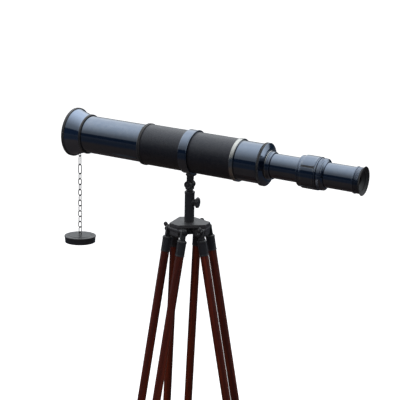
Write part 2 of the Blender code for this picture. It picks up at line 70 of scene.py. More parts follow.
pivot = Vector(joints["tube_tilt"]["pos_m"])
tubeAxis = Vector(joints["draw_slide"]["axis"])
tubeCenter = Vector(joints["focus_turn"]["pos_m"])       # on the optical axis, over the tilt bolt
pivotDrop = (tubeCenter - pivot).length
tubeSpace = spaceOf(tubeCenter, tubeAxis, (0, 1, 0))
saddleSpace = spaceOf(pivot, tubeAxis, (0, 1, 0))
yokeSpace = Matrix.Translation(pivot)
mountSpace = Matrix.Translation(pivot + Vector((0, 0, pivotDrop)))   # heights below the optical axis


def hingeSpace(leg):
    hingeAxis = Vector(joints[leg + "_fold"]["axis"])
    return spaceOf(joints[leg + "_fold"]["pos_m"], hingeAxis.cross(Vector((0, 0, 1))), hingeAxis)


def legSpace(leg):
    hingeAxis = Vector(joints[leg + "_fold"]["axis"])
    return spaceOf(joints[leg + "_fold"]["pos_m"],
                   hingeAxis.cross(Vector(joints[leg + "_extend"]["axis"])), hingeAxis)


def knobSpace(joint, y):
    return spaceOf(joints[joint]["pos_m"], joints[joint]["axis"], y)


# Shapes: every maker gives a bmesh in the piece's own axes

def softened(outline, corner=None, steps=None):
    # a point is (along, across) or (along, across, corner radius), and 0 keeps it sharp
    corner = fineness["corner"] if corner is None else corner
    steps = steps or fineness["cornerSteps"]
    result = []
    for k, point in enumerate(outline):
        here = Vector(point[:2])
        before = Vector(outline[k - 1][:2]) - here
        after = Vector(outline[(k + 1) % len(outline)][:2]) - here
        size = point[2] if len(point) > 2 else corner
        straight = math.pi - before.angle(after) < math.radians(14)
        if straight or size == 0 or here.y == 0:
            result.append(tuple(here))
            continue
        reach = min(size, 0.45 * before.length, 0.45 * after.length)
        start = here + before.normalized() * reach
        end = here + after.normalized() * reach
        for j in range(steps + 1):
            t = j / steps
            result.append(tuple(start * (1 - t) ** 2 + here * 2 * t * (1 - t) + end * t * t))
    return result


def turned(outline, axis="X", steps=None, corner=None):
    # a solid of revolution from a closed outline of (along, radius) points
    steps = steps or fineness["tube"]
    bm = bmesh.new()
    rings = []
    for along, radius in softened(outline, corner):
        ring = []
        for k in range(steps if radius > 0 else 1):
            across, up = radius * math.cos(2 * math.pi * k / steps), radius * math.sin(2 * math.pi * k
                    / steps)
            points = {"X": (along, across, up), "Y": (across, along, up), "Z": (across, up, along)}
            ring.append(bm.verts.new(points[axis]))
        rings.append(ring)
    for k, ring in enumerate(rings):
        following = rings[(k + 1) % len(rings)]
        for j in range(steps if max(len(ring), len(following)) > 1 else 0):
            corners = [ring[j % len(ring)], ring[(j + 1) % len(ring)]]
            corners += [following[(j + 1) % len(following)], following[j % len(following)]]
            bm.faces.new(list(dict.fromkeys(corners)))
    return bm


def prism(outline, low, high, axis="Z", bevel=0.8 * mm, segments=3):
    # a block with this outline across the axis, and its edges rounded over
    bm = bmesh.new()
    for level in (low, high):
        for across, up in outline:
            points = {"X": (level, across, up), "Y": (across, level, up), "Z": (across, up, level)}
            bm.verts.new(points[axis])
    bm.verts.ensure_lookup_table()
    count = len(outline)
    bm.faces.new(bm.verts[:count])
    bm.faces.new(bm.verts[count:])
    for k in range(count):
        following = (k + 1) % count
        bm.faces.new([bm.verts[j] for j in (k, following, count + following, count + k)])
    bmesh.ops.recalc_face_normals(bm, faces=bm.faces)
    roundEdges(bm, bevel, segments)
    return bm


def roundEdges(bm, bevel, segments=3, angle=32):
    sharp = [edge for edge in bm.edges if len(edge.link_faces) == 2]
    sharp = [edge for edge in sharp if edge.calc_face_angle() > math.radians(angle)]
    if bevel > 0 and sharp:
        bmesh.ops.bevel(bm, geom=sharp, offset=bevel, offset_type="OFFSET", segments=segments,
                        profile=0.5, affect="EDGES", clamp_overlap=True)


def rectangle(lowX, highX, lowY, highY):
    return [(lowX, lowY), (highX, lowY), (highX, highY), (lowX, highY)]


def arc(radius, start, end, steps, center=(0, 0)):
    points = []
    for k in range(steps + 1):
        angle = math.radians(start + (end - start) * k / steps)
        points.append((center[0] + radius * math.cos(angle), center[1] + radius * math.sin(angle)))
    return points


def roundedRectangle(halfX, halfY, corner, steps=6):
    points = []
    for start, x, y in ((0, 1, 1), (90, -1, 1), (180, -1, -1), (270, 1, -1)):
        points += arc(corner, start, start + 90, steps, (x * (halfX - corner), y * (halfY - corner)))
    return points


def rod(start, end, radius):
    return [(start, 0), (start, radius), (end, radius), (end, 0)]


def tube(start, end, radius, bore):
    return [(start, radius), (end, radius), (end, bore), (start, bore)]


def moved(bm, place=(0, 0, 0), angle=0, axis="Z"):
    # turned about one of its own axes first, then shifted
    bm.transform(Matrix.Translation(place) @ Matrix.Rotation(math.radians(angle), 4, axis))
    return bm


def joined(*shapes):
    whole = bmesh.new()
    for shape in shapes:
        part = bpy.data.meshes.new("part")
        shape.to_mesh(part)
        shape.free()
        whole.from_mesh(part)
        bpy.data.meshes.remove(part)
    return whole


def carved(shape, cutters):
    # cuts holes and slots with an exact Boolean, so that their walls are real
    target = temporaryObject(shape)
    for cutter in cutters:
        tool = temporaryObject(cutter)
        modifier = target.modifiers.new("cut", "BOOLEAN")
        modifier.operation = "DIFFERENCE"
        modifier.solver = "EXACT"
        modifier.object = tool
    bm = evaluatedShape(target)
    for modifier in target.modifiers:
        bpy.data.objects.remove(modifier.object)
    bpy.data.objects.remove(target)
    return bm


def temporaryObject(shape):
    bmesh.ops.recalc_face_normals(shape, faces=shape.faces)
    mesh = bpy.data.meshes.new("temporary")
    shape.to_mesh(mesh)
    shape.free()
    obj = bpy.data.objects.new("temporary", mesh)
    scene.collection.objects.link(obj)
    return obj


def evaluatedShape(obj):
    graph = bpy.context.evaluated_depsgraph_get()
    mesh = bpy.data.meshes.new_from_object(obj.evaluated_get(graph), depsgraph=graph)
    bm = bmesh.new()
    bm.from_mesh(mesh)
    bpy.data.meshes.remove(mesh)
    return bm


def markShape(bm):
    # leaves two attributes for the materials: how exposed each edge is, and the place in own axes
    wear = bm.verts.layers.float.new("wear")
    own = bm.verts.layers.float_vector.new("ownPlace")
    for vert in bm.verts:
        bend = max((edge.calc_face_angle_signed(0) for edge in vert.link_edges), default=0)
        share = (bend - wornEdge["from"]) / (wornEdge["to"] - wornEdge["from"])
        vert[wear] = max(0.0, min(1.0, share))
        vert[own] = vert.co


def finishPiece(name, shape, space, body, look, nodes=(), slotName=None):
    # puts the shape in its place, smooths it, and hands it to the frame
    bmesh.ops.recalc_face_normals(shape, faces=shape.faces)
    shape.normal_update()
    markShape(shape)
    shape.transform(space)
    mesh = bpy.data.meshes.new(name)
    shape.to_mesh(mesh)
    shape.free()
    mesh.shade_smooth()
    mesh.set_sharp_from_angle(angle=math.radians(38))
    rough = bpy.data.objects.new(name + "_rough", mesh)
    scene.collection.objects.link(rough)
    weighted = rough.modifiers.new("flat faces stay flat", "WEIGHTED_NORMAL")
    weighted.keep_sharp = True
    graph = bpy.context.evaluated_depsgraph_get()
    final = bpy.data.meshes.new_from_object(rough.evaluated_get(graph), depsgraph=graph)
    bpy.data.objects.remove(rough)
    bpy.data.meshes.remove(mesh)
    final.name = name
    final.materials.clear()
    final.materials.append(finish[look])
    piece = bpy.data.objects.new(name, final)
    scene.collection.objects.link(piece)
    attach(piece, body)
    slotName = slotName or slotNames[look]
    if nodes:
        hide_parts(*nodes)
    return piece


# Node building, for shaders and for geometry alike

def newTree(name, kind, inputs, outputs):
    tree = bpy.data.node_groups.new(name, kind)
    for label, socketType, value in inputs:
        socket = tree.interface.new_socket(label, in_out="INPUT", socket_type="NodeSocket" + socketType)
        if value is not None:
            socket.default_value = value
    for label, socketType in outputs:
        tree.interface.new_socket(label, in_out="OUTPUT", socket_type="NodeSocket" + socketType)
    given = {socket.name: socket for socket in tree.nodes.new("NodeGroupInput").outputs}
    return tree, given, tree.nodes.new("NodeGroupOutput")


def firstOutput(value):
    return value.outputs[0] if isinstance(value, bpy.types.Node) else value


def addNode(tree, kind, inputs=None, **settings):
    # inputs are values, nodes or output sockets, by socket name or number
    node = tree.nodes.new(kind)
    for key, value in settings.items():
        setattr(node, key, value)
    for key, value in (inputs or {}).items():
        setInput(tree, node.inputs[key], firstOutput(value))
    return node


def setInput(tree, socket, value):
    if isinstance(value, bpy.types.NodeSocket):
        tree.links.new(value, socket)
    else:
        socket.default_value = value


def calc(tree, operation, *values):
    return addNode(tree, "ShaderNodeMath", dict(enumerate(values)), operation=operation).outputs[0]


def ramp(tree, factor, *stops):
    node = addNode(tree, "ShaderNodeValToRGB", {"Fac": factor})
    while len(node.color_ramp.elements) < len(stops):
        node.color_ramp.elements.new(0.5)
    for element, (position, color) in zip(node.color_ramp.elements, stops):
        element.position = position
        element.color = (*color, 1) if len(color) == 3 else color
    return node.outputs["Color"]


def blendColors(tree, factor, first, second, mode="MIX"):
    node = addNode(tree, "ShaderNodeMix", data_type="RGBA", blend_type=mode)
    for key, value in ((0, factor), (6, first), (7, second)):
        setInput(tree, node.inputs[key], (*value, 1) if isinstance(value, tuple) else value)
    return node.outputs[2]


def times(tree, first, second):
    return calc(tree, "MULTIPLY", first, second)


def plus(tree, first, second):
    return calc(tree, "ADD", first, second)


def minus(tree, first, second):
    return calc(tree, "SUBTRACT", first, second)


def vector(tree, x=0.0, y=0.0, z=0.0):
    return addNode(tree, "ShaderNodeCombineXYZ", {0: x, 1: y, 2: z}).outputs[0]


def noise(tree, place, scale, detail):
    return addNode(tree, "ShaderNodeTexNoise", {"Vector": place, "Scale": scale,
                                                "Detail": detail}).outputs["Fac"]


def between(tree, value, low, high):
    # 0 below the low value and 1 above the high one
    return addNode(tree, "ShaderNodeMapRange", {"Value": value, "From Min": low,
                                                "From Max": high}).outputs[0]


def ownAxes(tree):
    return addNode(tree, "ShaderNodeTexCoord").outputs["Object"]


def edgeWearGroup():
    # rubbed edges: the wear attribute, broken up by clouds
    inputs = (("Amount", "Float", 0.5), ("Scale", "Float", 90.0))
    tree, given, result = newTree("edgeWear", "ShaderNodeTree", inputs, (("Mask", "Float"),))
    place = ownAxes(tree)
    wear = addNode(tree, "ShaderNodeAttribute", attribute_name="wear").outputs["Fac"]
    clouds = noise(tree, place, given["Scale"], 4.0)
    patchy = between(tree, clouds, 0.38, 0.68)
    worn = times(tree, times(tree, wear, patchy), given["Amount"])
    tree.links.new(worn, result.inputs["Mask"])
    return tree


def handledGroup():
    # cloudy smears and hairline scratches that change the roughness of a handled surface
    inputs = (("Roughness", "Float", 0.2), ("Spread", "Float", 0.08), ("Scale", "Float", 14.0))
    outputs = (("Roughness", "Float"), ("Height", "Float"))
    tree, given, result = newTree("handled", "ShaderNodeTree", inputs, outputs)
    place = ownAxes(tree)
    cloud = noise(tree, place, given["Scale"], 5.0)
    stretched = addNode(tree, "ShaderNodeMapping", {"Vector": place, "Scale": (40.0, 900.0, 900.0)})
    hair = noise(tree, stretched, 1.0, 2.0)
    scratch = between(tree, hair, 0.66, 0.74)
    centered = minus(tree, cloud, 0.5)
    varied = calc(tree, "MULTIPLY_ADD", centered, given["Spread"], given["Roughness"])
    rough = calc(tree, "MULTIPLY_ADD", scratch, 0.05, varied)
    tree.links.new(rough, result.inputs["Roughness"])
    tree.links.new(times(tree, scratch, -1.0), result.inputs["Height"])
    return tree


def dustGroup():
    # a little dust on what faces up
    inputs = (("Amount", "Float", 0.1), ("Scale", "Float", 220.0))
    tree, given, result = newTree("dust", "ShaderNodeTree", inputs, (("Mask", "Float"),))
    place = ownAxes(tree)
    normal = addNode(tree, "ShaderNodeSeparateXYZ",
                     {0: addNode(tree, "ShaderNodeNewGeometry").outputs["Normal"]})
    up = between(tree, normal.outputs["Z"], 0.55, 1.0)
    clouds = noise(tree, place, given["Scale"], 6.0)
    specks = between(tree, clouds, 0.5, 0.75)
    mask = times(tree, times(tree, up, specks), given["Amount"])
    tree.links.new(mask, result.inputs["Mask"])
    return tree


def grainGroup():
    # straight wood grain along the leg, with fine pores
    inputs = (("Ring Scale", "Float", 60.0), ("Pore Scale", "Float", 900.0))
    outputs = (("Figure", "Float"), ("Pores", "Float"))
    tree, given, result = newTree("woodGrain", "ShaderNodeTree", inputs, outputs)
    own = addNode(tree, "ShaderNodeAttribute", attribute_name="ownPlace").outputs["Vector"]
    slow = addNode(tree, "ShaderNodeMapping", {"Vector": own, "Scale": (1.0, 1.0, 0.035)})
    figure = addNode(tree, "ShaderNodeTexNoise", {"Vector": slow, "Scale": given["Ring Scale"],
                                                  "Detail": 5.0, "Distortion": 0.6})
    fine = addNode(tree, "ShaderNodeMapping", {"Vector": own, "Scale": (1.0, 1.0, 0.02)})
    pores = noise(tree, fine, given["Pore Scale"], 2.0)
    sharp = between(tree, pores, 0.55, 0.72)
    tree.links.new(figure.outputs["Fac"], result.inputs["Figure"])
    tree.links.new(sharp, result.inputs["Pores"])
    return tree


def leatherGroup():
    # pebbled hide: cells of two sizes and a soft unevenness
    inputs = (("Pebble Scale", "Float", 620.0), ("Crease Scale", "Float", 60.0))
    tree, given, result = newTree("hideGrain", "ShaderNodeTree", inputs,
                                  (("Height", "Float"), ("Hollow", "Float")))
    place = ownAxes(tree)
    cells = addNode(tree, "ShaderNodeTexVoronoi", {"Vector": place, "Scale": given["Pebble Scale"]},
                    feature="DISTANCE_TO_EDGE")
    pebble = between(tree, cells.outputs["Distance"], 0.0, 0.22)
    crease = noise(tree, place, given["Crease Scale"], 6.0)
    height = calc(tree, "MULTIPLY_ADD", crease, 0.6, pebble)
    tree.links.new(height, result.inputs["Height"])
    tree.links.new(minus(tree, 1.0, pebble), result.inputs["Hollow"])
    return tree


edgeWear, handled, dust = edgeWearGroup(), handledGroup(), dustGroup()
woodGrain, hideGrain = grainGroup(), leatherGroup()


def newMaterial(name, **shaderInputs):
    material = bpy.data.materials.new(name)
    material.use_nodes = True
    shader = material.node_tree.nodes["Principled BSDF"]
    for key, value in shaderInputs.items():
        shader.inputs[key.replace("_", " ")].default_value = value
    return material, material.node_tree, shader


def groupNode(tree, group, inputs=None):
    node = tree.nodes.new("ShaderNodeGroup")
    node.node_tree = group
    for key, value in (inputs or {}).items():
        node.inputs[key].default_value = value
    return node


def bumped(tree, shader, height, distance, strength=1.0):
    bump = addNode(tree, "ShaderNodeBump", {"Height": height, "Distance": distance, "Strength": strength})
    tree.links.new(bump.outputs["Normal"], shader.inputs["Normal"])


def metalFinish(name, color, worn, roughness, wear=0.5, spread=0.08, dusty=0.05, scratch=0.02 * mm):
    # plated or oxidised metal, rubbed bright along its edges
    material, tree, shader = newMaterial(name, Metallic=1.0)
    mask = groupNode(tree, edgeWear, {"Amount": wear}).outputs["Mask"]
    surface = groupNode(tree, handled, {"Roughness": roughness, "Spread": spread})
    place = ownAxes(tree)
    tone = noise(tree, place, 9.0, 3.0)
    darker = tuple(part * 0.84 for part in color)
    base = blendColors(tree, tone, darker, color)
    base = blendColors(tree, mask, base, worn)
    specks = groupNode(tree, dust, {"Amount": dusty}).outputs["Mask"]
    tree.links.new(blendColors(tree, specks, base, (0.35, 0.34, 0.32)), shader.inputs["Base Color"])
    tree.links.new(plus(tree, surface.outputs["Roughness"], specks), shader.inputs["Roughness"])
    bumped(tree, shader, surface.outputs["Height"], scratch)
    return material


def paintFinish(name, color, roughness, worn=(0.16, 0.155, 0.15), wear=0.35, texture=0.03 * mm):
    # satin black paint over cast metal, with a faint cast texture
    material, tree, shader = newMaterial(name, IOR=1.5)
    mask = groupNode(tree, edgeWear, {"Amount": wear, "Scale": 140.0}).outputs["Mask"]
    surface = groupNode(tree, handled, {"Roughness": roughness, "Spread": 0.12, "Scale": 30.0})
    place = ownAxes(tree)
    cast = noise(tree, place, 700.0, 3.0)
    tone = noise(tree, place, 25.0, 4.0)
    base = blendColors(tree, tone, tuple(part * 0.75 for part in color), color)
    base = blendColors(tree, mask, base, worn)
    specks = groupNode(tree, dust, {"Amount": 0.12}).outputs["Mask"]
    tree.links.new(blendColors(tree, specks, base, (0.30, 0.29, 0.27)), shader.inputs["Base Color"])
    tree.links.new(mask, shader.inputs["Metallic"])
    tree.links.new(surface.outputs["Roughness"], shader.inputs["Roughness"])
    bumped(tree, shader, cast, texture)
    return material


def hideFinish(name, color):
    material, tree, shader = newMaterial(name, IOR=1.6, Specular_Tint=(0.86, 0.90, 1.0, 1.0))
    grain = groupNode(tree, hideGrain)
    mask = groupNode(tree, edgeWear, {"Amount": 0.5}).outputs["Mask"]
    base = blendColors(tree, grain.outputs["Hollow"], color, tuple(part * 0.5 for part in color))
    tree.links.new(blendColors(tree, mask, base, (0.06, 0.05, 0.045)), shader.inputs["Base Color"])
    rough = calc(tree, "MULTIPLY_ADD", grain.outputs["Hollow"], 0.2, 0.27)
    tree.links.new(rough, shader.inputs["Roughness"])
    bumped(tree, shader, grain.outputs["Height"], 0.07 * mm)
    return material


def woodFinish(name, dark, middle, light):
    material, tree, shader = newMaterial(name, IOR=1.42, Coat_Roughness=0.14, Coat_Weight=0.22)
    grain = groupNode(tree, woodGrain)
    base = ramp(tree, grain.outputs["Figure"], (0.28, dark), (0.5, middle), (0.72, light))
    base = blendColors(tree, grain.outputs["Pores"], base, dark)
    mask = groupNode(tree, edgeWear, {"Amount": 0.35}).outputs["Mask"]
    tree.links.new(blendColors(tree, mask, base, light), shader.inputs["Base Color"])
    rough = calc(tree, "MULTIPLY_ADD", grain.outputs["Pores"], 0.2, 0.34)
    tree.links.new(rough, shader.inputs["Roughness"])
    bumped(tree, shader, minus(tree, 1.0, grain.outputs["Pores"]), 0.04 * mm)
    return material


def rubberFinish(name, color):
    material, tree, shader = newMaterial(name, IOR=1.5)
    place = ownAxes(tree)
    fine = noise(tree, place, 1400.0, 2.0)
    chalk = noise(tree, place, 40.0, 5.0)
    mask = groupNode(tree, edgeWear, {"Amount": 0.5}).outputs["Mask"]
    base = blendColors(tree, chalk, tuple(part * 0.7 for part in color), color)
    tree.links.new(blendColors(tree, mask, base, (0.07, 0.068, 0.065)), shader.inputs["Base Color"])
    tree.links.new(calc(tree, "MULTIPLY_ADD", chalk, 0.2, 0.5), shader.inputs["Roughness"])
    bumped(tree, shader, fine, 0.03 * mm)
    return material


def glassFinish(name, tint):
    material, tree, shader = newMaterial(name, Metallic=0.0, IOR=1.52, Transmission_Weight=1.0)
    place = ownAxes(tree)
    smear = noise(tree, place, 22.0, 4.0)
    tree.links.new(blendColors(tree, smear, tint, (0.92, 0.95, 0.97)), shader.inputs["Base Color"])
    tree.links.new(times(tree, smear, 0.05), shader.inputs["Roughness"])
    return material


finish = {
    "bronze": metalFinish("blackBronze", (0.172, 0.205, 0.262), (0.42, 0.42, 0.42), 0.10),
    # the bell's bronze is the tube's bronze painted lighter: a painted highlight, not a different finish
    "bell": metalFinish("litBronzeCopy", (0.25, 0.30, 0.39), (0.48, 0.48, 0.48), 0.09),
    "silver": metalFinish("brightRing", (0.50, 0.50, 0.48), (0.66, 0.65, 0.62), 0.22, wear=0.4),
    "chain": metalFinish("chainBronze", (0.085, 0.08, 0.078), (0.32, 0.30, 0.28), 0.26, wear=0.4),
    "hide": hideFinish("blackHide", (0.007, 0.007, 0.0095)),
    "black": paintFinish("satinBlack", (0.016, 0.016, 0.019), 0.34),
    # the head plate's black is the satin black painted lighter: painted light for its top lit from above
    "plate": paintFinish("headBlackLitCopy", (0.030, 0.029, 0.033), 0.42),
    "wood": woodFinish("redMahogany", (0.017, 0.0022, 0.0008), (0.058, 0.0072, 0.0022),
                       (0.125, 0.016, 0.0045)),
    "rubber": rubberFinish("blackRubber", (0.012, 0.012, 0.013)),
    "glass": glassFinish("lensGlass", (0.80, 0.88, 0.95)),
    "thread": paintFinish("waxedThread", (0.045, 0.040, 0.034), 0.6, wear=0.0),
}
slotNames = {"bronze": "dark_bronze", "bell": "dark_bronze", "silver": "bright_ring",
             "chain": "chain_metal", "hide": "black_hide", "black": "black_metal", "plate": "black_metal",
             "wood": "red_wood", "rubber": "black_rubber", "glass": "lens_glass", "thread": "black_hide"}
print("finishes ready:", len(finish))


# Geometry Nodes: what repeats

def linkTree():
    # a straight run of chain links, each turned a quarter from the one before
    inputs = (("Link Count", "Int", 5), ("First Link", "Int", 0), ("Pitch", "Float", 14.7 * mm),
              ("Width", "Float", 12 * mm), ("Wire", "Float", 1.8 * mm), ("Start", "Float", 0.0),
              ("Sway", "Float", 0.12), ("Finish", "Material", None))
    tree, given, result = newTree("chainRun", "GeometryNodeTree", inputs, (("Geometry", "Geometry"),))
    pitch, wire = given["Pitch"], given["Wire"]
    across = minus(tree, given["Width"], wire)
    along = plus(tree, pitch, times(tree, wire, 1.06))
    loop = addNode(tree, "GeometryNodeCurvePrimitiveQuadrilateral", {"Width": across, "Height": along})
    bend = addNode(tree, "GeometryNodeFilletCurve",
                   {"Curve": loop, "Count": 7, "Radius": times(tree, across, 0.499)}, mode="POLY")
    section = addNode(tree, "GeometryNodeCurvePrimitiveCircle",
                      {"Resolution": 10, "Radius": times(tree, wire, 0.5)})
    link = addNode(tree, "GeometryNodeCurveToMesh", {"Curve": bend, "Profile Curve": section})
    upright = addNode(tree, "GeometryNodeTransform", {"Geometry": link, "Rotation": (math.pi / 2, 0, 0)})
    half = times(tree, pitch, -0.5)
    first = vector(tree, z=plus(tree, half, given["Start"]))
    step = vector(tree, z=times(tree, pitch, -1.0))
    line = addNode(tree, "GeometryNodeMeshLine", {"Count": given["Link Count"], "Start Location": first,
                                                  "Offset": step})
    index = addNode(tree, "GeometryNodeInputIndex")
    number = plus(tree, index, given["First Link"])
    quarter = times(tree, plus(tree, number, 1.0), math.pi / 2)
    sway = addNode(tree, "FunctionNodeRandomValue", {2: -1.0, 3: 1.0, "Seed": 4}, data_type="FLOAT")
    turn = calc(tree, "MULTIPLY_ADD", sway.outputs[1], given["Sway"], quarter)
    spin = vector(tree, z=turn)
    copies = addNode(tree, "GeometryNodeInstanceOnPoints",
                     {"Points": line, "Instance": upright, "Rotation": spin})
    return endTree(tree, given, result, copies)


def ribTree():
    # rounded ribs standing round the X axis, all the same way along it
    inputs = (("Rib Count", "Int", 60), ("Radius", "Float", 10 * mm), ("Start", "Float", 0.0),
              ("Length", "Float", 5 * mm), ("Rib Width", "Float", 0.6 * mm),
              ("Rib Height", "Float", 0.4 * mm), ("Finish", "Material", None))
    tree, given, result = newTree("ringOfRibs", "GeometryNodeTree", inputs, (("Geometry", "Geometry"),))
    end = vector(tree, given["Length"])
    line = addNode(tree, "GeometryNodeCurvePrimitiveLine", {"End": end})
    points = addNode(tree, "GeometryNodeResampleCurve", {"Curve": line, "Count": 5})
    share = addNode(tree, "GeometryNodeSplineParameter").outputs["Factor"]
    middle = calc(tree, "ABSOLUTE", calc(tree, "MULTIPLY_ADD", share, 2.0, -1.0))
    taper = minus(tree, 1.0, times(tree, calc(tree, "POWER", middle, 8.0), 0.7))
    section = addNode(tree, "GeometryNodeCurvePrimitiveCircle", {"Resolution": 6, "Radius": 0.5})
    bar = addNode(tree, "GeometryNodeCurveToMesh",
                  {"Curve": points, "Profile Curve": section, "Fill Caps": True, "Scale": taper})
    sized = vector(tree, 1.0, given["Rib Width"], times(tree, given["Rib Height"], 2.0))
    lifted = vector(tree, given["Start"], z=given["Radius"])
    rib = addNode(tree, "GeometryNodeTransform", {"Geometry": bar, "Scale": sized, "Translation": lifted})
    return roundAxis(tree, given, result, rib, given["Rib Count"])


def padTree():
    # raised pads bent round the X axis, with slots between them
    inputs = (("Pad Count", "Int", 4), ("Span", "Float", 1.2), ("Radius", "Float", 40 * mm),
              ("Start", "Float", 0.0), ("Length", "Float", 30 * mm), ("Height", "Float", 1.2 * mm),
              ("Turn", "Float", 0.0), ("Finish", "Material", None))
    tree, given, result = newTree("bentPads", "GeometryNodeTree", inputs, (("Geometry", "Geometry"),))
    box = addNode(tree, "GeometryNodeMeshCube", {"Vertices X": 8, "Vertices Y": 24, "Vertices Z": 3})
    flat = addNode(tree, "ShaderNodeSeparateXYZ", {0: addNode(tree, "GeometryNodeInputPosition")})
    lengthwise = plus(tree, flat.outputs["X"], 0.5)
    # the corners of the pad are drawn in, so that its ends are round
    nearEnd = calc(tree, "POWER", calc(tree, "ABSOLUTE", times(tree, flat.outputs["X"], 2.0)), 6.0)
    narrow = minus(tree, 1.0, times(tree, nearEnd, 0.12))
    angle = times(tree, times(tree, flat.outputs["Y"], narrow), given["Span"])
    angle = plus(tree, angle, given["Turn"])
    radius = calc(tree, "MULTIPLY_ADD", flat.outputs["Z"], given["Height"], given["Radius"])
    along = calc(tree, "MULTIPLY_ADD", lengthwise, given["Length"], given["Start"])
    bent = vector(tree, along, times(tree, radius, calc(tree, "SINE", angle)),
                  times(tree, radius, calc(tree, "COSINE", angle)))
    pad = addNode(tree, "GeometryNodeSetPosition", {"Geometry": box, "Position": bent})
    return roundAxis(tree, given, result, pad, given["Pad Count"])


def screwTree():
    # slotted screw heads standing out from a ring, round the X axis
    inputs = (("Screw Count", "Int", 3), ("Radius", "Float", 50 * mm), ("Start", "Float", 0.0),
              ("Head", "Float", 2 * mm), ("Turn", "Float", 0.0), ("Finish", "Material", None))
    tree, given, result = newTree("ringOfScrews", "GeometryNodeTree", inputs, (("Geometry", "Geometry"),))
    head = given["Head"]
    dome = addNode(tree, "GeometryNodeMeshUVSphere", {"Segments": 24, "Rings": 12, "Radius": head})
    low = addNode(tree, "GeometryNodeTransform", {"Geometry": dome, "Scale": (1.0, 1.0, 0.42)})
    width = times(tree, head, 0.34)
    size = vector(tree, times(tree, head, 2.4), width, head)
    cutter = addNode(tree, "GeometryNodeMeshCube", {"Size": size})
    deep = vector(tree, z=times(tree, head, 0.66))
    slot = addNode(tree, "GeometryNodeTransform", {"Geometry": cutter, "Translation": deep})
    cut = addNode(tree, "GeometryNodeMeshBoolean", {"Mesh 1": low, "Mesh 2": slot},
                  operation="DIFFERENCE")
    lifted = vector(tree, given["Start"], z=given["Radius"])
    tilted = addNode(tree, "GeometryNodeTransform",
                     {"Geometry": cut, "Translation": lifted, "Rotation": (0.0, 0.0, 0.6)})
    turn = vector(tree, given["Turn"])
    placed = addNode(tree, "GeometryNodeTransform", {"Geometry": tilted, "Rotation": turn})
    return roundAxis(tree, given, result, placed, given["Screw Count"])


def bellTree():
    # the objective's flared shade: a surface whose radius falls off along a power curve
    inputs = (("Mouth Radius", "Float", 61 * mm), ("Waist Radius", "Float", 50 * mm),
              ("Start", "Float", 0.0), ("Length", "Float", 26 * mm), ("Power", "Float", 2.0),
              ("Finish", "Material", None))
    tree, given, result = newTree("flaredBell", "GeometryNodeTree", inputs, (("Geometry", "Geometry"),))
    sheet = addNode(tree, "GeometryNodeMeshGrid", {"Size X": 1.0, "Size Y": 1.0, "Vertices X": 28,
                                                   "Vertices Y": fineness["tube"] + 1})
    flat = addNode(tree, "ShaderNodeSeparateXYZ", {0: addNode(tree, "GeometryNodeInputPosition")})
    share = plus(tree, flat.outputs["X"], 0.5)
    angle = times(tree, flat.outputs["Y"], 2 * math.pi)
    drop = calc(tree, "POWER", minus(tree, 1.0, share), given["Power"])
    flare = minus(tree, given["Mouth Radius"], given["Waist Radius"])
    radius = calc(tree, "MULTIPLY_ADD", drop, flare, given["Waist Radius"])
    along = calc(tree, "MULTIPLY_ADD", share, given["Length"], given["Start"])
    curved = vector(tree, along, times(tree, radius, calc(tree, "SINE", angle)),
                    times(tree, radius, calc(tree, "COSINE", angle)))
    wall = addNode(tree, "GeometryNodeSetPosition", {"Geometry": sheet, "Position": curved})
    closed = addNode(tree, "GeometryNodeMergeByDistance", {"Geometry": wall, "Distance": 0.01 * mm})
    return endTree(tree, given, result, closed)


def stitchTree():
    # two rows of slanted stitches along a straight seam on the underside of a tube
    inputs = (("Stitch Count", "Int", 60), ("Spacing", "Float", 4 * mm), ("Start", "Float", 0.0),
              ("Radius", "Float", 52 * mm), ("Row Gap", "Float", 5 * mm),
              ("Stitch Length", "Float", 2.6 * mm), ("Thread", "Float", 0.35 * mm),
              ("Finish", "Material", None))
    tree, given, result = newTree("seamStitches", "GeometryNodeTree", inputs, (("Geometry", "Geometry"),))
    half = times(tree, given["Stitch Length"], 0.5)
    ends = [vector(tree, times(tree, half, sign)) for sign in (-1.0, 1.0)]
    line = addNode(tree, "GeometryNodeCurvePrimitiveLine", {"Start": ends[0], "End": ends[1]})
    points = addNode(tree, "GeometryNodeResampleCurve", {"Curve": line, "Count": 4})
    section = addNode(tree, "GeometryNodeCurvePrimitiveCircle",
                      {"Resolution": 6, "Radius": given["Thread"]})
    thread = addNode(tree, "GeometryNodeCurveToMesh",
                     {"Curve": points, "Profile Curve": section, "Fill Caps": True})
    rows = addNode(tree, "GeometryNodeJoinGeometry")
    for side in (-1.0, 1.0):
        beside = times(tree, given["Row Gap"], side / 2)
        start = vector(tree, given["Start"], beside, times(tree, given["Radius"], -1.0))
        step = vector(tree, given["Spacing"])
        row = addNode(tree, "GeometryNodeMeshLine",
                      {"Count": given["Stitch Count"], "Start Location": start, "Offset": step})
        copies = addNode(tree, "GeometryNodeInstanceOnPoints",
                         {"Points": row, "Instance": thread, "Rotation": (0.0, 0.0, 0.22 * side)})
        tree.links.new(copies.outputs[0], rows.inputs[0])
    return endTree(tree, given, result, rows)


def roundAxis(tree, given, result, shape, count):
    # copies of one shape, evenly spaced round the X axis
    line = addNode(tree, "GeometryNodeMeshLine", {"Count": count, "Offset": (0.0, 0.0, 0.0)})
    index = addNode(tree, "GeometryNodeInputIndex")
    angle = times(tree, calc(tree, "DIVIDE", index, count), 2 * math.pi)
    turn = vector(tree, angle)
    copies = addNode(tree, "GeometryNodeInstanceOnPoints",
                     {"Points": line, "Instance": shape, "Rotation": turn})
    return endTree(tree, given, result, copies)


def endTree(tree, given, result, shape):
    real = addNode(tree, "GeometryNodeRealizeInstances", {"Geometry": shape})
    painted = addNode(tree, "GeometryNodeSetMaterial", {"Geometry": real, "Material": given["Finish"]})
    tree.links.new(painted.outputs[0], result.inputs["Geometry"])
    return tree


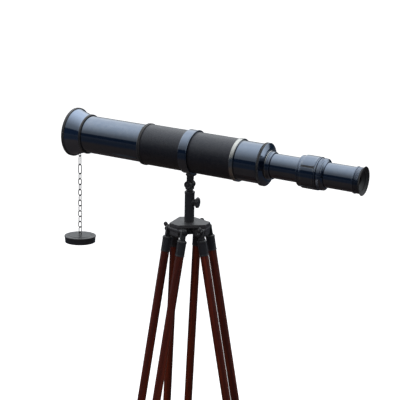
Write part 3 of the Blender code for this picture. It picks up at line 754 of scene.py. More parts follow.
def grown(tree, sizes, material, thickness=0):
    # runs a tree with these sizes and gives its plain mesh
    mesh = bpy.data.meshes.new("seed")
    holder = bpy.data.objects.new("holder", mesh)
    scene.collection.objects.link(holder)
    modifier = holder.modifiers.new("grow", "NODES")
    modifier.node_group = tree
    for item in tree.interface.items_tree:
        if item.in_out == "INPUT" and item.name in sizes:
            modifier[item.identifier] = sizes[item.name]
        if item.in_out == "INPUT" and item.name == "Finish":
            modifier[item.identifier] = material
    if thickness:
        wall = holder.modifiers.new("wall", "SOLIDIFY")
        wall.thickness = thickness
        wall.offset = sizes.get("Wall Side", -1)
    shape = evaluatedShape(holder)
    bpy.data.objects.remove(holder)
    return shape


chainRun, ringOfRibs, bentPads = linkTree(), ribTree(), padTree()
ringOfScrews, flaredBell, seamStitches = screwTree(), bellTree(), stitchTree()
print("node trees ready")


# Optical tube, measured along the axis from over the tilt bolt

bell = {"mouth": -354 * mm, "rear": -303 * mm, "radius": 64 * mm, "throat": 61.2 * mm, "waist": 50.4 * mm,
        "bead": 7.6 * mm, "flareEnd": -309.6 * mm, "power": 1.3, "wall": 1.9 * mm, "band": 52.2 * mm}


def makeBell():
    mouth, rear, waist = bell["mouth"], bell["rear"], bell["waist"]
    throat = bell["throat"]
    bead = [(mouth, 60 * mm, mm), (mouth, bell["radius"], 2.2 * mm),
            (mouth + bell["bead"], bell["radius"], 2 * mm),
            (mouth + bell["bead"], throat + 0.9 * mm, 0.3 * mm),
            (mouth + bell["bead"] + 0.7 * mm, throat - 0.5 * mm),
            (mouth + bell["bead"] + 0.7 * mm, 58 * mm)]
    flareStart = mouth + bell["bead"] - 1.5 * mm
    sizes = {"Mouth Radius": throat + 0.6 * mm, "Waist Radius": waist, "Start": flareStart,
             "Length": bell["flareEnd"] - flareStart, "Power": bell["power"]}
    flare = grown(flaredBell, sizes, finish["bronze"], bell["wall"])
    neck = tube(bell["flareEnd"] - 0.2 * mm, rear - 6.4 * mm, waist, 48.9 * mm)
    band = [(rear - 6.2 * mm, 48.9 * mm), (rear - 6.2 * mm, waist - 1.2 * mm),
            (rear - 5.4 * mm, waist - 1.2 * mm), (rear - 5.4 * mm, bell["band"], 0.9 * mm),
            (rear - 0.9 * mm, bell["band"], 0.9 * mm), (rear, waist, 0.5 * mm), (rear, 48.9 * mm)]
    finishPiece("bellTrim", joined(turned(bead), turned(band)), tubeSpace, "telescope", "black")
    # the bell wears the lighter bronze copy, its painted highlight
    finishPiece("bell", joined(flare, turned(neck)), tubeSpace, "telescope", "bell", ["objective_bell"])


lensCell = {"front": -332 * mm, "depth": 14 * mm, "outer": 46.1 * mm, "bore": 43.2 * mm}


def makeLensCell():
    start, end = lensCell["front"], lensCell["front"] + lensCell["depth"]
    cell = [(start, lensCell["outer"]), (end, lensCell["outer"]), (end, 40 * mm), (end - 4 * mm, 40 * mm),
            (end - 4 * mm, lensCell["bore"]), (start + 3 * mm, lensCell["bore"]),
            (start, lensCell["bore"] + 1.5 * mm)]
    ribs = {"Rib Count": 90, "Radius": lensCell["bore"] + 0.1 * mm, "Start": start + 3.5 * mm,
            "Length": 1.6 * mm, "Rib Width": 1.1 * mm, "Rib Height": 0.5 * mm}
    shape = joined(turned(cell), grown(ringOfRibs, ribs, finish["black"]))
    finishPiece("lensCell", shape, tubeSpace, "telescope", "black", ["objective_cell"])


lenses = {"objective": (-322.3 * mm, 42.9 * mm, 4.7 * mm, 1.6 * mm, 3.3 * mm),
          "erector": (163 * mm, 28.1 * mm, 4 * mm, 4 * mm, 1 * mm),
          "eye": (442.8 * mm, 23.6 * mm, 1.6 * mm, 1.9 * mm, 1.4 * mm)}
lensNodes = {"objective": ("objective_lens", "telescope"), "erector": ("erector_lens", "draw"),
             "eye": ("eye_lens", "eyepiece")}


def makeLens(name):
    # a ground lens: two spherical faces and a flat rim
    middle, radius, front, back, rim = lenses[name]
    outline = []
    for k in range(13):
        across = radius * k / 12
        outline.append((middle - rim / 2 - front * (1 - (across / radius) ** 2), across, 0))
    for k in range(12, -1, -1):
        across = radius * k / 12
        outline.append((middle + rim / 2 + back * (1 - (across / radius) ** 2), across, 0))
    node, body = lensNodes[name]
    finishPiece(name + "Lens", turned(outline), tubeSpace, body, "glass", [node])


frontTube = {"start": -332 * mm, "end": -105 * mm, "radius": 48.5 * mm, "bore": 46.5 * mm, "baffles": 5}


def makeFrontTube():
    start, end = frontTube["start"], frontTube["end"]
    wall = turned(tube(start, end, frontTube["radius"], frontTube["bore"]))
    baffles = []
    for k in range(frontTube["baffles"]):
        station = start + (k + 1.2) * (end - start) / (frontTube["baffles"] + 1)
        baffles.append(turned(tube(station, station + mm, frontTube["bore"] + 0.2 * mm, 43 * mm)))
    shape = joined(wall, *baffles)
    finishPiece("frontTube", shape, tubeSpace, "telescope", "bronze", ["front_tube"])


barrel = {"start": -123 * mm, "end": 130.7 * mm, "radius": 50.5 * mm, "bore": 48.8 * mm,
          "leather": 52 * mm, "spacing": 2.1 * mm, "seamGap": 4.4 * mm}


def makeBarrel():
    start, end, radius = barrel["start"], barrel["end"], barrel["radius"]
    finishPiece("mainTube", turned(tube(start, end, radius, barrel["bore"])), tubeSpace, "telescope",
                "bronze", ["main_tube"])
    # the hide is wrapped once round and sewn in a lapped seam underneath
    wrap = tube(start, end, barrel["leather"], radius + 0.3 * mm)
    seam = prism([(-1.1 * mm, -52.55 * mm), (1.1 * mm, -52.55 * mm), (0.9 * mm, -51 * mm),
                  (-0.9 * mm, -51 * mm)], start + mm, end - mm, "X", 0.3 * mm, 2)
    shape = joined(turned(wrap, corner=0.7 * mm), seam)
    finishPiece("leatherWrap", shape, tubeSpace, "telescope", "hide", ["leather_wrap"])
    for side, first, last in (("front", start + 3 * mm, -13 * mm), ("rear", 19 * mm, end - 3 * mm)):
        count = int((last - first) / barrel["spacing"])
        sizes = {"Stitch Count": count, "Spacing": barrel["spacing"], "Start": first,
                 "Row Gap": barrel["seamGap"], "Radius": barrel["leather"] - 0.05 * mm,
                 "Stitch Length": 1.5 * mm, "Thread": 0.25 * mm}
        finishPiece(side + "SeamStitches", grown(seamStitches, sizes, finish["thread"]), tubeSpace,
                    "telescope", "thread")


rings = {"front": (-133 * mm, -123.3 * mm, 54 * mm, 48.8 * mm),
         "rear": (131 * mm, 140.7 * mm, 54 * mm, 48.8 * mm)}


def makeRings():
    # the front ring is a rolled step, the rear one a bright turned ring with two fine grooves
    start, end, radius, bore = rings["front"]
    step = [(start, bore), (start, radius - 3 * mm, mm), (start + 2 * mm, radius - 0.4 * mm, 1.2 * mm),
            (end - 4.6 * mm, radius, mm), (end - 4 * mm, radius - 0.9 * mm, 0.3 * mm),
            (end - 3.2 * mm, radius - 0.9 * mm, 0.3 * mm), (end - 2.8 * mm, radius, 0.6 * mm),
            (end, radius, mm), (end, bore)]
    screws = {"Screw Count": 3, "Radius": radius - 0.5 * mm, "Start": end - 7.2 * mm, "Head": 1.4 * mm,
              "Turn": 2.6}
    shape = joined(turned(step), grown(ringOfScrews, screws, finish["black"]))
    finishPiece("frontRing", shape, tubeSpace, "telescope", "black", ["front_ring"])
    start, end, radius, bore = rings["rear"]
    ring = [(start, bore), (start, radius, 0.9 * mm)]
    for groove in (start + 2.4 * mm, end - 2.9 * mm):
        ring += [(groove, radius), (groove + 0.15 * mm, radius - 0.5 * mm), (groove + 0.4 * mm, radius)]
    ring += [(end, radius, 1.4 * mm), (end, bore)]
    finishPiece("rearRing", turned(ring, corner=0.1 * mm), tubeSpace, "telescope", "silver",
                ["rear_ring"])


clampBand = {"start": -10.5 * mm, "end": 14.5 * mm, "radius": 55.5 * mm, "bore": 52.3 * mm,
             "lip": 56.5 * mm}


def makeClampBand():
    start, end, radius, lip = (clampBand[key] for key in ("start", "end", "radius", "lip"))
    band = [(start, clampBand["bore"]), (start, radius, 0.9 * mm), (end - 3.6 * mm, radius, 0.4 * mm),
            (end - 3.2 * mm, radius - 0.7 * mm, 0.2 * mm), (end - 2.7 * mm, radius - 0.7 * mm, 0.2 * mm),
            (end - 2.5 * mm, lip, 0.7 * mm), (end - 0.4 * mm, lip, 0.7 * mm), (end, radius, 0.4 * mm),
            (end, clampBand["bore"])]
    screws = {"Screw Count": 2, "Radius": radius - 0.6 * mm, "Start": start + 10 * mm, "Head": 1.5 * mm,
              "Turn": 1.9}
    shape = joined(turned(band), grown(ringOfScrews, screws, finish["bronze"]))
    finishPiece("clampBand", shape, tubeSpace, "telescope", "bronze", ["clamp_band"])


housing = {"start": 110 * mm, "front": 141 * mm, "radius": 49.5 * mm, "flangeStart": 202 * mm,
           "flangeEnd": 210.4 * mm, "flange": 53.7 * mm, "shoulder": 216 * mm, "collar": 34 * mm,
           "end": 228.5 * mm, "bore": 30.7 * mm, "ribs": 190}


def makeHousing():
    # a glossy drum, a knurled flange, a dished shoulder and a two-step collar
    front, radius, flange = housing["front"], housing["radius"], housing["flange"]
    start, end = housing["flangeStart"], housing["flangeEnd"]
    collar, bore = housing["collar"], housing["bore"]
    shell = [(housing["start"], 48.5 * mm), (front, 48.5 * mm), (front, radius, 0.5 * mm),
             (start - 0.9 * mm, radius, 0.2 * mm), (start - 0.6 * mm, radius - 0.5 * mm, 0.2 * mm),
             (start, radius - 0.5 * mm, 0.2 * mm), (start, flange - 0.3 * mm, 0.3 * mm),
             (start + 0.4 * mm, flange - 0.3 * mm, 0.1 * mm),
             (start + 0.5 * mm, flange - 1.3 * mm, 0.1 * mm),
             (end - 0.5 * mm, flange - 1.3 * mm, 0.1 * mm), (end - 0.4 * mm, flange - 0.3 * mm, 0.1 * mm),
             (end + 0.2 * mm, flange - 0.6 * mm, 0.4 * mm), (end + 2.4 * mm, flange - 6.5 * mm, 2.4 * mm),
             (housing["shoulder"] - 0.4 * mm, 39.5 * mm, 2.6 * mm),
             (housing["shoulder"], collar + 0.9 * mm, 0.2 * mm),
             (housing["shoulder"] + 0.6 * mm, collar - 0.7 * mm),
             (housing["shoulder"] + 1.2 * mm, collar, 0.4 * mm), (end + 12.2 * mm, collar, 0.4 * mm),
             (end + 12.6 * mm, collar - 0.9 * mm, 0.1 * mm),
             (end + 13.2 * mm, collar - 0.9 * mm, 0.1 * mm), (end + 13.6 * mm, collar, 0.8 * mm),
             (housing["end"], collar, 1.6 * mm), (housing["end"], bore, 0.5 * mm), (206 * mm, bore),
             (206 * mm, 46 * mm), (housing["start"], 46 * mm)]
    ribs = {"Rib Count": housing["ribs"], "Radius": flange - 1.3 * mm, "Start": start + 0.4 * mm,
            "Length": end - start - 0.7 * mm, "Rib Width": 1.8 * mm, "Rib Height": 1.1 * mm}
    finishPiece("rearHousing", turned(shell), tubeSpace, "telescope", "bronze", ["rear_housing"])
    band = tube(housing["shoulder"] + 0.4 * mm, housing["shoulder"] + 2.6 * mm, collar + 1.5 * mm,
                collar - 0.5 * mm)
    finishPiece("collarBand", turned(band), tubeSpace, "telescope", "silver")
    finishPiece("housingKnurl", grown(ringOfRibs, ribs, finish["black"]), tubeSpace, "telescope", "black")


draw = {"guideStart": 150 * mm, "guideEnd": 156 * mm, "guide": 45.6 * mm, "radius": 30.4 * mm,
        "bore": 28.4 * mm, "end": 306 * mm}
sleeve = {"start": 300 * mm, "end": 350 * mm, "radius": 39 * mm, "front": 37.8 * mm, "pad": 1.3 * mm,
          "padStart": 311 * mm, "padEnd": 346 * mm, "pads": 5, "share": 0.91, "turn": -0.42}


def makeDrawTube():
    guide = [(draw["guideStart"], draw["guide"]), (draw["guideEnd"], draw["guide"]),
             (draw["guideEnd"], draw["radius"]), (draw["end"], draw["radius"]),
             (draw["end"], draw["bore"]), (draw["guideStart"], draw["bore"])]
    finishPiece("drawTube", turned(guide), tubeSpace, "draw", "bronze", ["draw_tube"])


def makeSleeve():
    # a turned sleeve with a bead in front and raised pads between slots
    start, end, radius, front = (sleeve[key] for key in ("start", "end", "radius", "front"))
    body = [(start, front - 0.8 * mm, 0.5 * mm), (start + mm, front, 0.5 * mm),
            (start + 3.6 * mm, front, 0.3 * mm), (start + 4.0 * mm, front - 0.7 * mm, 0.1 * mm),
            (start + 4.5 * mm, front - 0.7 * mm, 0.1 * mm), (start + 4.9 * mm, front, 0.4 * mm),
            (start + 8.4 * mm, front, 0.6 * mm), (start + 9.2 * mm, radius, 0.6 * mm),
            (end - 2.2 * mm, radius, 0.3 * mm), (end - 2.2 * mm, radius + 1.3 * mm, 0.5 * mm),
            (end, radius + 1.3 * mm, 0.6 * mm), (end, 33.5 * mm), (306.3 * mm, 33.5 * mm),
            (306.3 * mm, 30.7 * mm), (start, 30.7 * mm)]
    span = 2 * math.pi / sleeve["pads"] * sleeve["share"]
    pads = {"Pad Count": sleeve["pads"], "Span": span, "Radius": radius + sleeve["pad"] / 2 - 0.35 * mm,
            "Start": sleeve["padStart"], "Length": sleeve["padEnd"] - sleeve["padStart"],
            "Height": sleeve["pad"] + 0.7 * mm, "Turn": sleeve["turn"]}
    raised = grown(bentPads, pads, finish["bronze"])
    roundEdges(raised, 0.35 * mm, 2, 40)
    shape = joined(turned(body), raised)
    finishPiece("focusSleeve", shape, tubeSpace, "draw", "bronze", ["focus_sleeve"])
    # black strips laid on the sleeve in the slots between the pads: painted shade for the slots
    half = math.pi / sleeve["pads"]
    slots = dict(pads, Span=(2 * half - span) * 0.9, Turn=sleeve["turn"] + half, Radius=radius,
                 Height=0.9 * mm)
    finishPiece("sleeveSlotShade", grown(bentPads, slots, finish["black"]), tubeSpace, "draw", "black")


focusRing = {"start": 350.3 * mm, "end": 368 * mm, "radius": 38.5 * mm, "bore": 30.6 * mm, "ribs": 120}


def makeFocusRing():
    start, end, radius = focusRing["start"], focusRing["end"], focusRing["radius"]
    ring = [(start, focusRing["bore"]), (start, radius - 0.6 * mm, 0.3 * mm),
            (start + 0.8 * mm, radius - 0.8 * mm, 0.2 * mm), (start + 1.4 * mm, radius, 0.5 * mm),
            (end - 7.2 * mm, radius, 0.6 * mm), (end - 6.6 * mm, radius - 1.1 * mm),
            (end - 5.8 * mm, radius - 1.1 * mm), (end - 5.2 * mm, radius - 0.1 * mm, 0.5 * mm),
            (end - 3.4 * mm, radius - 0.4 * mm, 0.9 * mm), (end - 0.8 * mm, 33.6 * mm, 0.8 * mm),
            (end, 32.4 * mm, 0.5 * mm), (end, focusRing["bore"])]
    ribs = {"Rib Count": focusRing["ribs"], "Radius": radius - 0.12 * mm, "Start": start + 2 * mm,
            "Length": 8.0 * mm, "Rib Width": 0.9 * mm, "Rib Height": 0.38 * mm}
    shape = joined(turned(ring), grown(ringOfRibs, ribs, finish["bronze"]))
    finishPiece("focusRing", shape, tubeSpace, "focus", "bronze", ["focus_ring"])


eyepiece = {"start": 320 * mm, "end": 439 * mm, "radius": 30.3 * mm, "bore": 28.4 * mm,
            "mountEnd": 454.5 * mm, "collar": 32.5 * mm, "mount": 31.2 * mm, "ridges": 5}
eyeCup = {"start": 446 * mm, "end": 460 * mm, "radius": 35.4 * mm, "base": 31.4 * mm, "inner": 22 * mm}


def makeEyepiece():
    start, end, radius, bore = (eyepiece[key] for key in ("start", "end", "radius", "bore"))
    finishPiece("eyepieceTube", turned(tube(start, end, radius, bore)), tubeSpace, "eyepiece", "bronze",
                ["eyepiece_tube"])
    top = end + 0.3 * mm
    mount = [(end - 9 * mm, 28.1 * mm), (top, 28.1 * mm), (top, eyepiece["collar"], 0.6 * mm),
             (end + 3.6 * mm, eyepiece["collar"], 0.5 * mm),
             (end + 4.2 * mm, eyepiece["mount"] - 0.7 * mm, 0.2 * mm)]
    pitch = (eyepiece["mountEnd"] - end - 4.6 * mm) / eyepiece["ridges"]
    for k in range(eyepiece["ridges"]):
        along = end + 4.6 * mm + k * pitch
        mount += [(along, eyepiece["mount"] - 0.6 * mm, 0.2 * mm),
                  (along + 0.35 * pitch, eyepiece["mount"] + 0.3 * mm, 0.4 * mm),
                  (along + 0.75 * pitch, eyepiece["mount"] + 0.3 * mm, 0.4 * mm)]
    mount += [(eyepiece["mountEnd"], eyepiece["mount"] - 0.5 * mm, 0.2 * mm),
              (eyepiece["mountEnd"], 24 * mm), (441 * mm, 24 * mm), (441 * mm, 20 * mm),
              (end - 9 * mm, 20 * mm)]
    finishPiece("eyepieceMount", turned(mount), tubeSpace, "eyepiece", "bronze", ["eyepiece_mount"])
    rim, cupRadius = eyeCup["end"], eyeCup["radius"]
    cup = [(446 * mm, 23.6 * mm), (454.8 * mm, 23.6 * mm), (454.8 * mm, eyeCup["base"], 0.6 * mm),
           (457.2 * mm, 33.4 * mm, mm), (rim - 1.2 * mm, cupRadius, 0.9 * mm),
           (rim, cupRadius - 0.9 * mm, 0.7 * mm), (rim - 0.4 * mm, cupRadius - 2.2 * mm, 0.7 * mm),
           (456.5 * mm, 28 * mm, 3 * mm), (452.5 * mm, eyeCup["inner"], 2 * mm),
           (448.5 * mm, 12 * mm, mm), (446 * mm, 11 * mm, 0.6 * mm)]
    finishPiece("eyeCup", turned(cup), tubeSpace, "eyepiece", "rubber", ["eye_cup"])


makeBell()
makeLensCell()
for lensName in lenses:
    makeLens(lensName)
makeFrontTube()
makeBarrel()
makeRings()
makeClampBand()
makeHousing()
makeDrawTube()
makeSleeve()
makeFocusRing()
makeEyepiece()
print("optical tube built")


# Chain and cap, hanging straight down

chain = {"width": 12 * mm, "wire": 2.2 * mm, "longPitch": 24 * mm, "shortPitch": 14.7 * mm,
         "longLinks": 2, "upperLinks": 7, "links": 13, "top": 0.25 * mm, "hook": 63 * mm}
cap = {"radius": 42.3 * mm, "height": 19 * mm, "eye": 6.5 * mm, "taper": 1.8 * mm, "wall": 1.6 * mm}


def chainLinks(first, last, start, pitch):
    sizes = {"Link Count": last - first, "First Link": first, "Pitch": pitch, "Width": chain["width"],
             "Wire": chain["wire"], "Start": start}
    return grown(chainRun, sizes, finish["chain"])


def makeChain():
    hookSpace = tubeSpace @ Matrix.Translation((-335 * mm, 0, -chain["hook"]))
    peg = turned([(14.2 * mm, 0), (14.2 * mm, 3.2 * mm), (9.2 * mm, 3.2 * mm, 0.8 * mm),
                  (8.2 * mm, 2.1 * mm, 0.8 * mm), (6 * mm, 2 * mm), (5.2 * mm, 0)], "Z",
                 fineness["small"])
    eye = turned([(-1.0 * mm, 3.6 * mm, 0.9 * mm), (0, 4.65 * mm, 0.9 * mm),
                  (1.0 * mm, 3.6 * mm, 0.9 * mm), (0, 2.55 * mm, 0.9 * mm)], "Y", fineness["small"])
    shape = joined(peg, moved(eye, (0, 0, 2.3 * mm)))
    finishPiece("chainEye", shape, hookSpace, "telescope", "black", ["chain_eye"], "chain_metal")
    upper = Matrix.Translation(Vector(joints["chain_upper_swing"]["pos_m"]))
    long, count = chain["longLinks"], chain["upperLinks"]
    shape = joined(chainLinks(0, long, chain["top"], chain["longPitch"]),
                   chainLinks(long, count, chain["top"] - long * chain["longPitch"], chain["shortPitch"]))
    finishPiece("upperChain", shape, upper, "upper_chain", "chain", ["chain_upper"])
    lower = Matrix.Translation(Vector(joints["chain_lower_swing"]["pos_m"]))
    shape = chainLinks(count, chain["links"], chain["top"], chain["shortPitch"])
    finishPiece("lowerChain", shape, lower, "lower_chain", "chain", ["chain_lower"])


def makeCap():
    # a shallow pressed cap with a rolled rim, a raised step on top and a wire eye in a small boss
    top = -cap["eye"] - 0.5 * mm
    bottom, radius, wall = top - cap["height"], cap["radius"], cap["wall"]
    foot = radius - cap["taper"]
    shell = [(top, 0), (top, 30 * mm, 2 * mm), (top - 1.2 * mm, 31.2 * mm, 0.8 * mm),
             (top - 1.2 * mm, radius, 1.6 * mm), (top - 4.6 * mm, radius, 0.5 * mm),
             (top - 5.2 * mm, radius - mm, 0.3 * mm), (bottom + 1.6 * mm, foot, 0.6 * mm),
             (bottom, foot + 0.2 * mm, 0.6 * mm), (bottom, foot - wall, 0.4 * mm),
             (top - 2.8 * mm, radius - mm - wall, 1.2 * mm), (top - 2.8 * mm, 0)]
    boss = turned([(top - 0.5 * mm, 0), (top - 0.5 * mm, 5 * mm), (top + 0.7 * mm, 4.2 * mm, 0.5 * mm),
                   (top + 0.7 * mm, 0)], "Z", fineness["small"])
    eye = grown(chainRun, {"Link Count": 1, "First Link": 1, "Pitch": cap["eye"] + 1.4 * mm,
                           "Width": 9 * mm, "Wire": chain["wire"], "Start": chain["top"], "Sway": 0.0},
                finish["chain"])
    capSpace = Matrix.Translation(Vector(joints["cap_swing"]["pos_m"]))
    shape = joined(turned(shell, "Z"), boss, eye)
    finishPiece("lensCap", shape, capSpace, "cap", "black", ["lens_cap"], "dark_bronze")


# Mount: saddle, yoke, post, column and head

saddle = {"top": 26.5 * mm, "boss": 9.3 * mm, "tongue": 8.4 * mm, "half": 4 * mm, "seat": 56.8 * mm}
yoke = {"neck": 9.2 * mm, "neckBottom": -17.7 * mm, "spindle": 6 * mm, "spindleEnd": -63.7 * mm,
        "inner": 4.3 * mm, "outer": 8.7 * mm, "cheek": 8.4 * mm, "bolt": 3 * mm}


def makeSaddle():
    # a cast foot under the clamp band, waisted into a tongue between the yoke's cheeks
    top, boss = saddle["top"], saddle["boss"]
    post = turned([(3 * mm, 0), (3 * mm, 6 * mm), (9 * mm, 6.6 * mm, mm), (13 * mm, boss, 1.5 * mm),
                   (top - 6 * mm, boss, mm), (top - mm, boss + 1.2 * mm, mm),
                   (top + 2 * mm, boss + 1.2 * mm), (top + 2 * mm, 0)], "Z", fineness["rod"])
    pad = prism([(x + 2 * mm, y) for x, y in roundedRectangle(11 * mm, 11.5 * mm, 4 * mm)], top - 3 * mm,
                top + 4 * mm, "Z", 0.6 * mm)
    seats = [moved(turned(rod(-40 * mm, 40 * mm, saddle["seat"])), (0, 0, pivotDrop)) for _ in range(2)]
    holes = [turned(rod(-12 * mm, 12 * mm, yoke["bolt"] + clearance), "Y",
                    fineness["small"]) for _ in range(2)]
    tongueOutline = [(saddle["tongue"], 12 * mm), (-saddle["tongue"], 12 * mm)] + arc(saddle["tongue"],
            180, 360, 24)
    tongue = prism(tongueOutline, -saddle["half"], saddle["half"], "Y", 0.5 * mm)
    shape = joined(carved(pad, [seats[0]]), carved(tongue, [holes[0]]),
                   carved(post, [seats[1], holes[1]]))
    finishPiece("saddle", shape, saddleSpace, "telescope", "black", ["saddle"])


def makeYoke():
    neck, low = yoke["neck"], yoke["neckBottom"]
    stem = turned([(yoke["spindleEnd"], 0), (yoke["spindleEnd"], yoke["spindle"]), (low, yoke["spindle"]),
                   (low, neck, mm), (low + 2.6 * mm, neck, 0.4 * mm),
                   (low + 3.2 * mm, neck - 0.8 * mm, 0.2 * mm), (-13.6 * mm, neck - 0.8 * mm, mm),
                   (-10 * mm, neck + 0.5 * mm, mm), (-8.8 * mm, neck, mm), (-8.8 * mm, 0)], "Z",
                  fineness["rod"])
    cheekOutline = [(yoke["cheek"], -13 * mm)] + arc(yoke["cheek"], 0, 180,
                                                     24) + [(-yoke["cheek"], -13 * mm)]
    cheeks = []
    for low, high in ((-yoke["outer"], -yoke["inner"]), (yoke["inner"], yoke["outer"])):
        hole = turned(rod(-12 * mm, 12 * mm, yoke["bolt"] + clearance), "Y", fineness["small"])
        cheeks.append(carved(prism(cheekOutline, low, high, "Y", 0.8 * mm), [hole]))
    finishPiece("tiltYoke", joined(stem, *cheeks), yokeSpace, "yoke", "black", ["tilt_yoke"])


tiltBolt = {"head": 9.6 * mm, "face": 9 * mm, "thread": 14.5 * mm, "nut": 10 * mm}


def threadOutline(start, end, radius, pitch):
    # the edge of a screw thread, as rings of ridges
    points = []
    count = int((end - start) / pitch)
    for k in range(count):
        points += [(start + k * pitch, radius - 0.3 * mm, 0), (start + (k + 0.5) * pitch, radius, 0)]
    return points


def makeTiltBolt():
    face, head, far = tiltBolt["face"], tiltBolt["head"], tiltBolt["thread"]
    bolt = [(-far, 0)] + threadOutline(-far, -face, yoke["bolt"], 0.8 * mm) + [(-face, yoke["bolt"]),
            (face, yoke["bolt"])]
    bolt += [(face, head, 0.8 * mm), (face + 4.6 * mm, head, 1.2 * mm),
             (face + 6 * mm, 7.6 * mm, 0.8 * mm), (face + 6 * mm, 0)]
    finishPiece("tiltBolt", turned(bolt, "Y", fineness["knob"]), yokeSpace, "yoke", "black",
                ["tilt_bolt"])
    nut = [(-face, yoke["bolt"] + clearance), (-face, 7 * mm), (-face - 1.5 * mm, 9.2 * mm, 0.5 * mm),
           (-face - 2.4 * mm, tiltBolt["nut"] - 0.5 * mm, 0.4 * mm),
           (-face - 4.6 * mm, tiltBolt["nut"] - 0.5 * mm, 0.5 * mm),
           (-face - 5.5 * mm, 8.6 * mm, 0.6 * mm), (-face - 4.9 * mm, 7.8 * mm, 0.4 * mm),
           (-face - 3.4 * mm, 6.6 * mm, 0.6 * mm), (-face - 3.5 * mm, yoke["bolt"] + clearance)]
    ribs = {"Rib Count": 32, "Radius": tiltBolt["nut"] - 0.6 * mm, "Start": -face - 4.7 * mm,
            "Length": 2.4 * mm, "Rib Width": 1.2 * mm, "Rib Height": 0.55 * mm}
    knurl = moved(grown(ringOfRibs, ribs, finish["black"]), (0, 0, 0), 90, "Z")
    shape = joined(turned(nut, "Y", fineness["knob"]), knurl)
    finishPiece("tiltNut", shape, yokeSpace, "tilt_thumb_nut", "black", ["tilt_nut"])


column = {"top": -102 * mm, "bottom": -212 * mm, "radius": 12.6 * mm, "bore": 10 * mm,
          "knobHeight": -130 * mm, "boss": 9.0 * mm, "post": 9.7 * mm, "postBore": 6.3 * mm}


def makeColumn():
    top, bottom, radius, height = column["top"], column["bottom"], column["radius"], column["knobHeight"]
    outline = [(bottom, radius, 0.3 * mm), (top - 7 * mm, radius, 0.5 * mm),
               (top - 6.4 * mm, radius + 0.6 * mm, 0.5 * mm), (top, radius + 0.6 * mm, 1.2 * mm),
               (top, column["bore"], 0.6 * mm), (bottom, column["bore"], 0.3 * mm)]
    knobAxis = Vector(joints["column_knob_turn"]["axis"])
    azimuth = math.degrees(math.atan2(knobAxis.y, knobAxis.x))
    hole = moved(turned(rod(5 * mm, 20 * mm, 3.3 * mm), "X", fineness["small"]), (0, 0, height), azimuth)
    boss = turned([(7 * mm, 3.3 * mm), (7 * mm, 9.6 * mm), (12.6 * mm, 9.6 * mm, mm),
                   (14 * mm, column["boss"], 0.8 * mm), (16.5 * mm, column["boss"], 0.8 * mm),
                   (16.5 * mm, 3.3 * mm)], "X", fineness["rod"])
    shape = joined(carved(turned(outline, "Z", fineness["knob"]), [hole]),
                   moved(boss, (0, 0, height), azimuth))
    finishPiece("column", shape, mountSpace, "head", "black", ["column"])
    post = [(bottom + 4 * mm, column["post"]), (top - 0.2 * mm, column["post"], 0.7 * mm),
            (top - 0.2 * mm, column["postBore"]), (bottom + 4 * mm, column["postBore"])]
    finishPiece("centerPost", turned(post, "Z", fineness["knob"]), mountSpace, "post", "black",
                ["center_post"])


knob = {"shank": 3 * mm, "lobes": 9, "lobeDepth": 0.9 * mm}


def lobedKnob(start, neck, disc, end, radius):
    # a hand wheel: a hub, and a disc with shallow finger hollows round its rim
    wheel = turned([(start, 0), (start, knob["shank"]), (neck, knob["shank"]),
                    (neck, 10.5 * mm, 0.8 * mm), (disc, radius - 2.2 * mm, mm),
                    (disc + 0.8 * mm, radius, mm), (end - 1.6 * mm, radius, 1.4 * mm),
                    (end, radius - 3 * mm, mm), (end - 0.9 * mm, radius - 5 * mm, 0.8 * mm),
                    (end - 0.9 * mm, 3.4 * mm, 0.3 * mm), (end - 0.2 * mm, 3.0 * mm, 0.3 * mm),
                    (end - 0.2 * mm, 0)], "X", 144)
    for vert in wheel.verts:
        across = math.hypot(vert.co.y, vert.co.z)
        if across > radius - 2.6 * mm:
            angle = math.atan2(vert.co.z, vert.co.y)
            hollow = 0.5 - 0.5 * math.cos(knob["lobes"] * angle)
            share = 1 - knob["lobeDepth"] / across * hollow ** 2
            vert.co.y, vert.co.z = vert.co.y * share, vert.co.z * share
    return wheel


head = {"top": -180.5 * mm, "bottom": -214 * mm, "thickness": 8 * mm, "reach": 51 * mm,
        "halfWidth": 19 * mm, "lugInner": 15 * mm, "lugHalf": 16.5 * mm, "boss": 7 * mm, "hub": 19.3 * mm,
        "hinge": 42 * mm, "bossHalf": 26.2 * mm, "bolt": 3 * mm}


